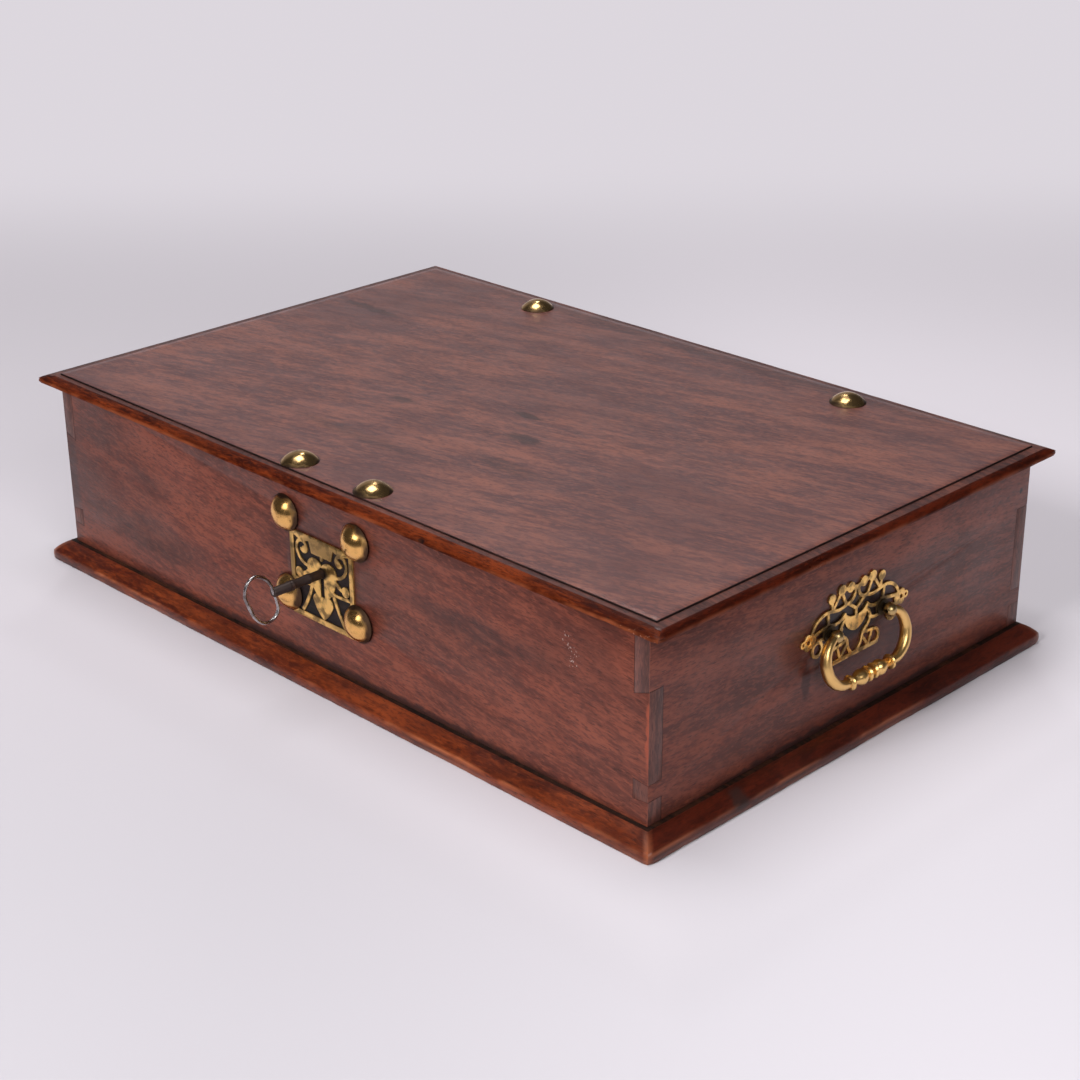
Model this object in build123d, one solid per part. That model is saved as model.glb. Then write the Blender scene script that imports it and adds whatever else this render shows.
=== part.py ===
from build123d import *
from math import asin, cos, sin
import os

os.makedirs("parts", exist_ok=True)

# Desk letter box. Millimetres. X runs along the box, Y from the locked front to the hinged
# back, Z up. The origin is the centre of the carcass on the surface that the box stands on.

# Carcass: four boards dovetailed at the corners, front and back with the tails.
body_length = 480.0
body_depth = 309.0
body_height = 103.0
board = 9.5
glue_gap = 0.15
lower_tail = 13.2
lower_pin = 8.9
upper_tail = 50.0
pin_flare = 1.0
upper_pin_flare = 3.4

# Base board, nailed up into the carcass, with an ovolo edge above a plain upright one.
base_thickness = 12.0
base_end_overhang = 12.0
base_front_overhang = 12.0
base_back_overhang = 9.0
base_edge = 5.5
base_ovolo = 9.0

# Lid, one thin board with an ovolo edge set off by a scratched line.
lid_thickness = 5.0
lid_end_overhang = 12.0
lid_front_overhang = 9.0
lid_back_overhang = 8.0
lid_edge = 0.6
lid_ovolo = 10.9
lid_seat = 0.1
scratch_width = 1.0
scratch_depth = 0.7

# Nails, and the clearances of holes: snug round a fixed shank, free round a turning one.
snug = 0.05
running = 0.05
free_gap = 0.3
base_nail_radius = 0.9
base_nail_length = 29.0
base_nail_head_radius = 2.6
base_nail_head = 1.0
base_nail_end_margin = 40.0
base_nail_side_margin = 75.0

# Domed brass studs, each with a shank that is riveted over on the inner side.
stud_radius = 10.7
stud_height = 6.6
stud_wall = 1.3
stud_shank_radius = 1.8
rivet_radius = 2.4
rivet_head = 0.8

# Side of one square of the grid that the pierced work and the bow of the key are drawn on.
square = 1.0

# Lock, escutcheon and key, all set out from the key's axis below the rim of the box.
lock_x = 3.0
key_below_rim = 47.0
key_shank_radius = 2.7
key_pilot_radius = 1.6
key_bit_reach = 13.8
key_bit_thickness = 2.4
key_bit_width = 5.6
key_ward_width = 1.2
key_ward_depth = 4.3
key_stand_out = 33.2
bow_wire_radius = 1.0
escutcheon_thickness = 0.9
escutcheon_width = 52.4
escutcheon_height = 50.4
escutcheon_drop = 5.9
escutcheon_border = 3.2
keyhole_slack = 0.5
keyhole_slot = 3.2
keyhole_in_wood = 1.5
lock_stud_spacing_x = 58.2
lock_stud_spacing_z = 47.3
lock_stud_rise = 3.6
lock_plate_thickness = 1.5
lock_plate_margin = 8.5
lock_top_below_rim = 7.0
lock_cover_width = 47.0
lock_cover_depth = 12.0
lock_cover_wall = 1.2
lock_cover_drop = 19.0
flange_reach = 6.0
flange_height = 16.0
cover_rivet_radius = 1.1
cover_rivet_head_radius = 2.0
bolt_thickness = 2.4
bolt_length = 28.0
bolt_lead = 8.0
bolt_height = 9.0
bolt_leg = 3.0
bolt_leg_width = 4.5
bolt_arm_width = 4.0
bolt_throw = 12.0
bolt_rise = 15.0
bolt_off_plate = 4.9
tongue_height = 5.0
tongue_gap = 0.7
stump_radius = 1.5
stump_spacing = 6.0
spring_thickness = 0.8
spring_width = 3.0
spring_rise = 5.0
spring_foot = 2.6
staple_width = 6.0
staple_bar = 1.5
staple_slack = 1.1
staple_depth = 16.0
leaf_thickness = 1.2
staple_plate_length = 76.0
staple_plate_width = 12.2
lid_front_stud_spacing = 60.2
lid_front_stud_inset = 12.0

# Hinges: the lid leaf lies in a notch of the back board, the case leaf down its outer face.
hinge_spacing = 254.0
hinge_width = 28.0
hinge_barrel_radius = 2.2
hinge_pin_radius = 0.9
hinge_knuckles = 5
hinge_knuckle_gap = 0.1
hinge_case_leaf_drop = 34.0
hinge_lid_leaf_reach = 33.0
hinge_stud_reach = 20.3
hinge_nail_radius = 0.8
hinge_nail_length = 6.5
hinge_nail_head_radius = 2.0
hinge_nail_head = 0.6
hinge_nail_row = 16.0
lid_nail_share = 0.6

# Side handles: a pierced plate, two posts through the board and a hanging bail.
handle_rise = 55.5
handle_y = 0.6
handle_plate_thickness = 1.0
post_spacing = 44.0
post_stand_out = 5.0
post_head_radius = 3.6
post_stem_radius = 2.4
post_foot_radius = 4.4
post_foot = 0.9
post_shank_radius = 2.0
nut_radius = 4.6
nut_thickness = 2.6
bail_radius = 3.0
bail_pin_radius = 1.25
bail_pin_depth = 3.0
bail_width = 64.0
bail_drop = 26.0
bail_shoulder_radius = 5.7
bend_limit = 0.95
bail_corner_radius = 14.0
bail_tilt = 12.0
grip_ring_radius = 4.5
grip_ring_width = 2.6
grip_bead_radius = 4.4
grip_bead_length = 11.0
grip_lap = 0.15
toe_width = 3.6
toe_height = 2.4
shank_past_nut = 0.6
bail_gap = 0.4

rim = base_thickness + body_height
front = -body_depth / 2
back = body_depth / 2
side = body_length / 2
front_inner = front + board
lid_under = rim + lid_seat
key_z = rim - key_below_rim
handle_z = base_thickness + handle_rise


# ------------------------------------------------------------------ shared drawing helpers

def front_prism(outline, y_near, y_far):
    """Solid between two upright planes, from an outline drawn in X and Z as seen from the front."""
    plane = Plane(origin=(0, y_far, 0), x_dir=(1, 0, 0), z_dir=(0, -1, 0))
    return extrude(plane * outline, y_far - y_near, dir=(0, -1, 0))


def side_prism(outline, x_low, x_high):
    """Solid between two end planes, from an outline drawn in Y and Z as seen from the right."""
    plane = Plane(origin=(x_low, 0, 0), x_dir=(0, 1, 0), z_dir=(1, 0, 0))
    return extrude(plane * outline, x_high - x_low, dir=(1, 0, 0))


def block(x_range, y_range, z_range):
    """Box between two corners."""
    size = [high - low for low, high in (x_range, y_range, z_range)]
    centre = [(high + low) / 2 for low, high in (x_range, y_range, z_range)]
    return Pos(*centre) * Box(*size)


def panel(x_range, z_range):
    """Flat rectangle between two corners."""
    low_x, high_x = x_range
    low_z, high_z = z_range
    return Pos((low_x + high_x) / 2, (low_z + high_z) / 2) * Rectangle(high_x - low_x, high_z - low_z)


def rod(start, end, radius):
    """Round bar between two points."""
    direction = Vector(*end) - Vector(*start)
    plane = Plane(origin=start, z_dir=direction)
    return extrude(plane * Circle(radius), direction.length)


def nail(shank_radius, length, head_radius, head):
    """Nail along +Z: the shank above the plane, the head below it."""
    shank = Pos(0, 0, length / 2) * Cylinder(shank_radius, length)
    cap = Pos(0, 0, -head / 2) * Cylinder(head_radius, head)
    return shank + cap


def stud(depth):
    """Hollow dome standing on its plane, with a shank that is riveted over at the given depth."""
    ball = (stud_radius**2 + stud_height**2) / (2 * stud_height)
    low = stud_height - ball
    hollow = ball - stud_wall
    rim_inner = (hollow**2 - low**2) ** 0.5
    outer_half = asin(stud_radius / ball) / 2
    inner_half = asin(rim_inner / hollow) / 2
    outer = ThreePointArc(
        (stud_radius, 0), (ball * sin(outer_half), low + ball * cos(outer_half)), (0, stud_height))
    inner = ThreePointArc(
        (0, low + hollow), (hollow * sin(inner_half), low + hollow * cos(inner_half)), (rim_inner, 0))
    axis_line = Line((0, stud_height), (0, low + hollow))
    rim_line = Line((rim_inner, 0), (stud_radius, 0))
    shell = revolve(Plane.XZ * make_face([outer, axis_line, inner, rim_line]), Axis.Z)
    crown = stud_height - stud_wall / 2
    shank = Pos(0, 0, (crown - depth) / 2) * Cylinder(stud_shank_radius, crown + depth)
    rivet = Pos(0, 0, -depth - rivet_head / 2) * Cylinder(rivet_radius, rivet_head)
    return shell + shank + rivet


def moulded_section(low, high, bottom, top, edge, width):
    """Board section with an ovolo on both edges, each above a plain upright edge."""
    spring = bottom + edge
    rise = top - spring
    left = EllipticalCenterArc((low + width, spring), width, rise, 90, arc_size=90)
    right = EllipticalCenterArc((high - width, spring), width, rise, 0, arc_size=90)
    edges = [
        Line((low, bottom), (high, bottom)),
        Line((high, bottom), (high, spring)),
        right,
        Line((high - width, top), (low + width, top)),
        left,
        Line((low, spring), (low, bottom)),
    ]
    return make_face(edges)


def moulded_board(x_range, y_range, z_range, edge, width):
    """Board with the ovolo worked on all four edges and mitred at the corners."""
    along = side_prism(moulded_section(*y_range, *z_range, edge, width), *x_range)
    across = front_prism(moulded_section(*x_range, *z_range, edge, width), *y_range)
    return along & across


# ------------------------------------------------------------------ carcass

def pin_outlines(end, gap):
    """Two dovetail pins at one end of the front, narrow at the arris; gap widens them."""
    root = end * (side - board - gap)
    tip = end * side
    low = base_thickness + lower_tail
    high = low + lower_pin
    upper = high + upper_tail
    lower = Polygon(
        (root, low - pin_flare - gap), (tip, low - gap), (tip, high + gap),
        (root, high + pin_flare + gap), align=None)
    top = Polygon(
        (root, upper - upper_pin_flare - gap), (tip, upper - gap), (tip, rim), (root, rim), align=None)
    return lower + top


def base_nail_spots():
    """Nails along the middle of each board: four in front and back, two in each side."""
    line_y = back - board / 2
    line_x = side - board / 2
    reach_x = side - base_nail_end_margin
    reach_y = back - base_nail_side_margin
    long_sides = [(reach_x * share, y) for y in (-line_y, line_y) for share in (-1, -1 / 3, 1 / 3, 1)]
    short_sides = [(x, y) for x in (-line_x, line_x) for y in (-reach_y, reach_y)]
    return long_sides + short_sides


def base_nails(gap=0.0):
    """The nails that hold the base, or with a gap, the holes that they need."""
    one = nail(base_nail_radius + gap, base_nail_length + gap, base_nail_head_radius + gap, base_nail_head)
    return [Pos(x, y, base_nail_head) * one for x, y in base_nail_spots()]


def base_board():
    """Moulded board that the carcass stands on."""
    solid = moulded_board(
        (-side - base_end_overhang, side + base_end_overhang),
        (front - base_front_overhang, back + base_back_overhang),
        (0, base_thickness), base_edge, base_ovolo)
    return solid - base_nails(snug)


def long_board(y_near, y_far):
    """Front or back board, with the tails."""
    solid = block((-side, side), (y_near, y_far), (base_thickness, rim))
    for end in (-1, 1):
        solid -= front_prism(pin_outlines(end, glue_gap), y_near, y_far)
    return solid - base_nails(snug)


def front_board():
    """Front board with the keyhole, roomier than the metal ones, and the holes for the studs."""
    slack = keyhole_in_wood
    hole = keyhole(key_shank_radius + slack, keyhole_slot + slack, key_bit_reach + slack)
    solid = long_board(front, front_inner) - front_prism(hole, front, front_inner)
    return solid - lock_stud_holes()


def back_board():
    """Back board with a notch for each hinge and the holes for its nails."""
    solid = long_board(back - board, back)
    notch_half = hinge_width / 2 + free_gap
    notch_floor = lid_under - leaf_thickness - free_gap
    for x in (-hinge_spacing / 2, hinge_spacing / 2):
        solid -= block((x - notch_half, x + notch_half), (back - board, back), (notch_floor, rim))
    return solid - hinge_case_nails(snug)


def right_side_board():
    """End board with the pins, bored for the posts of its handle."""
    reach = back - board - glue_gap
    solid = block((side - board, side), (-reach, reach), (base_thickness, rim))
    solid += front_prism(pin_outlines(1, 0), front, -reach)
    solid += front_prism(pin_outlines(1, 0), reach, back)
    return solid - base_nails(snug) - post_holes()


# ------------------------------------------------------------------ lid

def lid_stud_spots():
    """Centres of the studs on the lid: two over the lock, one over each hinge."""
    front_y = front + lid_front_stud_inset
    hinge_y = hinge_axis_y - hinge_stud_reach
    half = lid_front_stud_spacing / 2
    lock_pair = [(x, front_y) for x in (lock_x - half, lock_x + half)]
    hinge_pair = [(x, hinge_y) for x in (-hinge_spacing / 2, hinge_spacing / 2)]
    return lock_pair, hinge_pair


def lid_board():
    """Moulded lid with a scratched line round its field and the holes for studs and nails."""
    x_range = (-side - lid_end_overhang, side + lid_end_overhang)
    y_range = (front - lid_front_overhang, back + lid_back_overhang)
    top = lid_under + lid_thickness
    solid = moulded_board(x_range, y_range, (lid_under, top), lid_edge, lid_ovolo)
    centre_y = sum(y_range) / 2
    field = (x_range[1] - lid_ovolo, y_range[1] - centre_y - lid_ovolo)
    outline = Rectangle(2 * field[0], 2 * field[1])
    inside = Rectangle(2 * (field[0] - scratch_width), 2 * (field[1] - scratch_width))
    solid -= Pos(0, centre_y, top - scratch_depth) * extrude(outline - inside, scratch_depth)
    lock_pair, hinge_pair = lid_stud_spots()
    bore = stud_shank_radius + snug
    holes = [rod((x, y, lid_under), (x, y, top), bore) for x, y in lock_pair + hinge_pair]
    return solid - holes - hinge_lid_nails(snug)


def lid_studs(spots):
    """Studs on the lid, riveted under the plate or leaf below it."""
    depth = lid_thickness + leaf_thickness
    return [Pos(x, y, lid_under + lid_thickness) * stud(depth) for x, y in spots]


def staple_plate():
    """Plate under the lid with the staple that the bolt shoots through."""
    low = lid_under - leaf_thickness
    y_near = front_inner + 2 * free_gap
    half = staple_plate_length / 2
    solid = block((lock_x - half, lock_x + half), (y_near, y_near + staple_plate_width), (low, lid_under))
    eye = staple_bar + staple_slack + bolt_thickness / 2
    x_range = (lock_x - staple_width / 2, lock_x + staple_width / 2)
    solid += block(x_range, (bolt_y - eye, bolt_y + eye), (rim - staple_depth, low))
    gap = eye - staple_bar
    solid -= block(x_range, (bolt_y - gap, bolt_y + gap), (rim - staple_depth + staple_bar, low))
    lock_pair, hinge_pair = lid_stud_spots()
    holes = [rod((x, y, low), (x, y, lid_under), stud_shank_radius + snug) for x, y in lock_pair]
    return solid - holes


# ------------------------------------------------------------------ hinges

hinge_axis_y = back + hinge_barrel_radius + free_gap
hinge_axis_z = rim - hinge_barrel_radius - free_gap


def knuckle_spans(centre, first):
    """X spans of every second knuckle of a hinge, from the first."""
    pitch = hinge_width / hinge_knuckles
    start = centre - hinge_width / 2
    gap = hinge_knuckle_gap / 2
    places = range(first, hinge_knuckles, 2)
    return [(start + i * pitch + gap, start + (i + 1) * pitch - gap) for i in places]


def knuckle(span, bore):
    """One rolled knuckle with the hole for the pin."""
    start = (span[0], hinge_axis_y, hinge_axis_z)
    end = (span[1], hinge_axis_y, hinge_axis_z)
    return rod(start, end, hinge_barrel_radius), rod(start, end, bore)


def hinge_leaf_solid(centre, first, leaf_block, bore):
    """Leaf with its knuckles; the other leaf's knuckles get room in it."""
    solid = leaf_block
    reach = hinge_barrel_radius + free_gap
    room_y = (hinge_axis_y - reach, hinge_axis_y + reach)
    room_z = (hinge_axis_z - reach, hinge_axis_z + reach)
    for span in knuckle_spans(centre, 1 - first):
        solid -= block((span[0] - hinge_knuckle_gap, span[1] + hinge_knuckle_gap), room_y, room_z)
    for span in knuckle_spans(centre, first):
        barrel, hole = knuckle(span, bore)
        solid = solid + barrel - hole
    return solid


def hinge_case_leaf(centre):
    """Leaf down the outer face of the back board."""
    half = hinge_width / 2
    leaf = block(
        (centre - half, centre + half), (back, back + leaf_thickness),
        (hinge_axis_z - hinge_case_leaf_drop, hinge_axis_z))
    solid = hinge_leaf_solid(centre, 0, leaf, hinge_pin_radius)
    return solid - hinge_case_nails(snug)


def hinge_lid_leaf(centre):
    """Leaf under the lid, held by a stud and two nails."""
    half = hinge_width / 2
    leaf = block(
        (centre - half, centre + half), (hinge_axis_y - hinge_lid_leaf_reach, hinge_axis_y),
        (lid_under - leaf_thickness, lid_under))
    solid = hinge_leaf_solid(centre, 1, leaf, hinge_pin_radius + running)
    stud_y = hinge_axis_y - hinge_stud_reach
    low = lid_under - leaf_thickness
    hole = rod((centre, stud_y, low), (centre, stud_y, lid_under), stud_shank_radius + snug)
    return solid - hole - hinge_lid_nails(snug)


def hinge_pin(centre):
    """Pin through all the knuckles of one hinge."""
    half = hinge_width / 2 - hinge_knuckle_gap / 2
    start = (centre - half, hinge_axis_y, hinge_axis_z)
    end = (centre + half, hinge_axis_y, hinge_axis_z)
    return rod(start, end, hinge_pin_radius)


def hinge_case_nails(gap=0.0):
    """Three nails through each case leaf into the back board, or the holes for them."""
    one = nail(hinge_nail_radius + gap, hinge_nail_length + gap, hinge_nail_head_radius, hinge_nail_head)
    turned = Rot(90, 0, 0) * one
    high = hinge_axis_z - hinge_case_leaf_drop / 3
    low = hinge_axis_z - hinge_case_leaf_drop + hinge_nail_head_radius * 3
    half = hinge_nail_row / 2
    spots = [(0, high), (-half, low), (half, low)]
    return [Pos(x + dx, back + leaf_thickness, z) * turned
            for x in (-hinge_spacing / 2, hinge_spacing / 2) for dx, z in spots]


def hinge_lid_nails(gap=0.0):
    """Two nails up through each lid leaf, or the holes for them."""
    length = leaf_thickness + lid_thickness * lid_nail_share
    one = nail(hinge_nail_radius + gap, length + gap, hinge_nail_head_radius, hinge_nail_head)
    y = hinge_axis_y - hinge_lid_leaf_reach + hinge_nail_head_radius * 2
    half = hinge_nail_row / 2
    return [Pos(x + dx, y, lid_under - leaf_thickness) * one
            for x in (-hinge_spacing / 2, hinge_spacing / 2) for dx in (-half, half)]


# ------------------------------------------------------------------ lock

plate_back = front_inner + lock_plate_thickness
cover_back = plate_back + lock_cover_depth
bolt_y = plate_back + bolt_off_plate
stud_mid_z = key_z + lock_stud_rise
lock_top = rim - lock_top_below_rim


def keyhole(radius, slot, reach):
    """Round hole for the shank with a slot below it for the bit."""
    slot_outline = Pos(lock_x, key_z - reach / 2) * Rectangle(slot, reach)
    return Pos(lock_x, key_z) * Circle(radius) + slot_outline


def lock_stud_spots():
    """Centres of the four studs round the lock, in X and Z."""
    dx = lock_stud_spacing_x / 2
    dz = lock_stud_spacing_z / 2
    return [(lock_x + sx * dx, stud_mid_z + sz * dz) for sx in (-1, 1) for sz in (-1, 1)]


def lock_stud_holes():
    """Holes for those studs, through the front board and the lock plate."""
    bore = stud_shank_radius + snug
    return [rod((x, front, z), (x, plate_back, z), bore) for x, z in lock_stud_spots()]


def escutcheon_studs():
    """Four studs on the corners of the escutcheon, riveted over the lock plate."""
    depth = escutcheon_thickness + board + lock_plate_thickness
    turned = Rot(90, 0, 0) * stud(depth)
    return [Pos(x, front - escutcheon_thickness, z) * turned for x, z in lock_stud_spots()]


def lock_plate():
    """Plate of the lock, on the inner face of the front board."""
    half = lock_stud_spacing_x / 2 + lock_plate_margin
    low = stud_mid_z - lock_stud_spacing_z / 2 - lock_plate_margin
    solid = block((lock_x - half, lock_x + half), (front_inner, plate_back), (low, lock_top))
    hole = keyhole(key_shank_radius + running, keyhole_slot, key_bit_reach + keyhole_slack)
    solid -= front_prism(hole, front_inner, plate_back)
    return solid - lock_stud_holes() - cover_rivets(snug)


def cover_rivets(gap=0.0):
    """Four rivets through the cover's flanges and the lock plate, or the holes for them."""
    reach = lock_plate_thickness + lock_cover_wall
    one = nail(cover_rivet_radius + gap, reach, cover_rivet_head_radius, rivet_head)
    turned = Rot(90, 0, 0) * one
    x = lock_cover_width / 2 + flange_reach / 2
    z = flange_height / 4
    return [Pos(lock_x + sx * x, plate_back + lock_cover_wall, stud_mid_z + sz * z) * turned
            for sx in (-1, 1) for sz in (-1, 1)]


def lock_cover():
    """Folded cover over the works, open to the plate, with a slot for the staple in its top."""
    half = lock_cover_width / 2
    low = key_z - lock_cover_drop
    wall = lock_cover_wall
    solid = block((lock_x - half, lock_x + half), (plate_back, cover_back), (low, lock_top))
    inside_x = (lock_x - half + wall, lock_x + half - wall)
    solid -= block(inside_x, (plate_back, cover_back - wall), (low + wall, lock_top - wall))
    flange_half = half + flange_reach
    flange_z = flange_height / 2
    flanges = block(
        (lock_x - flange_half, lock_x + flange_half), (plate_back, plate_back + wall),
        (stud_mid_z - flange_z, stud_mid_z + flange_z))
    flanges -= block((lock_x - half, lock_x + half), (plate_back, cover_back), (low, lock_top))
    slot = staple_width / 2 + staple_slack
    slot_back = bolt_y + bolt_thickness / 2 + staple_bar + 2 * staple_slack
    solid -= block((lock_x - slot, lock_x + slot), (plate_back, slot_back), (lock_top - wall, lock_top))
    pilot = rod((lock_x, cover_back - wall, key_z), (lock_x, cover_back, key_z), key_pilot_radius + running)
    return solid + flanges - pilot - cover_rivets(snug)


bolt_left = lock_x + bolt_lead - bolt_length
bolt_low = key_z + bolt_rise
stump_z = bolt_low + bolt_height / 2
tongue_low = rim - staple_depth + staple_bar + tongue_gap


def lock_bolt():
    """Sliding bolt: talon legs over the key, a slot on the stumps, and a tongue for the staple."""
    right = bolt_left + bolt_length
    tongue_high = tongue_low + tongue_height
    tip = lock_x - staple_width / 2 - staple_slack
    outline = panel((bolt_left, right), (bolt_low, bolt_low + bolt_height))
    outline += panel((bolt_left, bolt_left + bolt_leg_width), (bolt_low - bolt_leg, bolt_low))
    outline += panel((right - bolt_leg_width, right), (bolt_low - bolt_leg, bolt_low))
    outline += panel((bolt_left, bolt_left + bolt_arm_width), (bolt_low, tongue_high))
    outline += panel((bolt_left, tip), (tongue_low, tongue_high))
    slot_high = lock_x + stump_spacing / 2
    slot_low = lock_x - stump_spacing / 2 - bolt_throw
    slot = SlotCenterToCenter(slot_high - slot_low, 2 * (stump_radius + running))
    outline -= Pos((slot_low + slot_high) / 2, stump_z) * slot
    return front_prism(outline, bolt_y - bolt_thickness / 2, bolt_y + bolt_thickness / 2)


def lock_stumps():
    """Two guide studs between plate and cover, in the bolt's slot."""
    inner = cover_back - lock_cover_wall
    places = (lock_x - stump_spacing / 2, lock_x + stump_spacing / 2)
    return [rod((x, plate_back, stump_z), (x, inner, stump_z), stump_radius) for x in places]


def lock_spring():
    """Leaf spring on a foot, bearing on the bolt's top edge."""
    touch = bolt_low + bolt_height + spring_thickness / 2 + snug
    foot_x = lock_x + lock_cover_width / 2 - lock_cover_wall - spring_foot
    middle = (lock_x + foot_x) / 2
    path = ThreePointArc((lock_x, touch), (middle, touch + spring_rise / 4), (foot_x, touch + spring_rise))
    y_range = (bolt_y - spring_width / 2, bolt_y + spring_width / 2)
    leaf = front_prism(SlotArc(path, spring_thickness), *y_range)
    half = spring_foot / 2
    foot_z = (touch + spring_rise - half, touch + spring_rise + half)
    return leaf + block((foot_x - half, foot_x + half), (plate_back, y_range[1]), foot_z)


# ------------------------------------------------------------------ key and escutcheon

def key():
    """Shank with a bit hanging down, a pilot at its end and a kidney-shaped wire bow."""
    shank_end = front - escutcheon_thickness - key_stand_out
    shoulder = cover_back - lock_cover_wall - keyhole_slack
    pilot_end = cover_back + keyhole_slack
    solid = rod((lock_x, shank_end, key_z), (lock_x, shoulder, key_z), key_shank_radius)
    solid += rod((lock_x, shoulder, key_z), (lock_x, pilot_end, key_z), key_pilot_radius)
    bit_x = (lock_x - key_bit_thickness / 2, lock_x + key_bit_thickness / 2)
    bit_y = (bolt_y - key_bit_width / 2, bolt_y + key_bit_width / 2)
    bit_low = key_z - key_bit_reach
    ward_y = (bit_y[0] + key_ward_width, bit_y[0] + 2 * key_ward_width)
    bit = block(bit_x, bit_y, (bit_low, key_z))
    solid += bit - block(bit_x, ward_y, (bit_low, bit_low + key_ward_depth))
    bow = [
        (-0.5, -0.4), (-1.6, 5.6), (-6.0, 10.6), (-14.4, 12.8), (-18.2, 6.0), (-15.4, -3.8),
        (-11.4, -12.4), (-4.2, -16.4), (1.9, -12.4), (1.2, -4.8)]
    bow_plane = Plane(origin=(lock_x, shank_end, key_z), x_dir=(0, 1, 0), z_dir=(1, 0, 0))
    path = bow_plane * scale(Spline(*bow, periodic=True), square)
    pen = Plane(origin=path @ 0, z_dir=path % 0) * Circle(bow_wire_radius)
    return solid + sweep(pen, path)


def strip(*points, width):
    """Flat band with round ends through the points: straight, or a run of tangent arcs."""
    if len(points) == 2:
        return SlotArc(Line(*points), width)
    arcs = [ThreePointArc(*points[:3])]
    for point in points[3:]:
        arcs.append(TangentArc(arcs[-1] @ 1, point, tangent=arcs[-1] % 1))
    return SlotArc(Wire(arcs), width)


def both_halves(pieces, plane, half_space):
    """Pieces joined, kept on one side of the mirror plane, and repeated on the other."""
    half = pieces[0]
    for piece in pieces[1:]:
        half += piece
    half &= half_space
    return half + mirror(half, plane)


def escutcheon_fretwork():
    """Outlines of the right half of the pierced work, in squares about the keyhole."""
    shield = make_face([
        Line((0, 4.2), (0, -15.2)),
        Line((0, -15.2), (3.2, -15.2)),
        ThreePointArc((3.2, -15.2), (9.2, -8.6), (12.0, -0.6)),
        ThreePointArc((12.0, -0.6), (11.5, 3.9), (8.2, 6.9)),
        ThreePointArc((8.2, 6.9), (3.6, 6.9), (0, 4.2)),
    ])
    heart = make_face([
        Line((0, -15.8), (0, -28.0)),
        ThreePointArc((0, -28.0), (4.6, -23.8), (8.0, -18.6)),
        ThreePointArc((8.0, -18.6), (7.4, -14.6), (3.8, -13.8)),
        ThreePointArc((3.8, -13.8), (1.6, -14.4), (0, -15.8)),
    ])
    crown = Polygon((0, 9.4), (8.2, 9.4), (10.6, 17.5), (0, 17.5), align=None)
    upper_scroll = strip(
        (12.6, 1.2), (17.8, 3.6), (20.6, 8.4), (19.3, 13.4), (15.2, 14.6), (12.6, 12.0), width=1.9)
    upper_curl = strip((12.6, 12.0), (14.2, 8.4), (16.6, 9.6), width=1.8) + Pos(13.9, 9.9) * Circle(2.2)
    lower_volute = Pos(19.3, -5.0) * Circle(3.1)
    volute_stem = strip((12.0, -2.4), (15.6, -4.6), (19.0, -5.0), width=2.2)
    lower_band = strip((8.6, -9.0), (11.8, -17.0), (17.4, -26.4), width=2.2)
    cross_band = strip((9.4, -9.6), (15.6, -9.6), (23.6, -9.0), width=1.8)
    corner_leaf = strip((10.0, 17.0), (15.8, 15.6), (22.8, 17.6), width=1.6)
    tie = strip((0, 8.0), (0, 12.0), width=2.0)
    return (shield, heart, crown, tie, upper_scroll, upper_curl, lower_volute, volute_stem, lower_band,
            cross_band, corner_leaf)


def escutcheon_plate():
    """Framed plate of pierced work, symmetrical about the keyhole."""
    y_range = (front - escutcheon_thickness, front)
    frame = Rectangle(escutcheon_width, escutcheon_height)
    frame -= Rectangle(escutcheon_width - 2 * escutcheon_border, escutcheon_height - 2 * escutcheon_border)
    pieces = [front_prism(Pos(0, key_z - escutcheon_drop) * frame, *y_range)]
    drawing = [Pos(0, key_z) * scale(outline, square) for outline in escutcheon_fretwork()]
    pieces += [front_prism(outline, *y_range) for outline in drawing]
    solid = both_halves(pieces, Plane.YZ, block((0, escutcheon_width), y_range, (0, rim)))
    hole = keyhole(key_shank_radius + keyhole_slack, keyhole_slot, key_bit_reach + keyhole_slack)
    return Pos(lock_x, 0, 0) * solid - front_prism(hole, *y_range)


# ------------------------------------------------------------------ side handles

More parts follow.
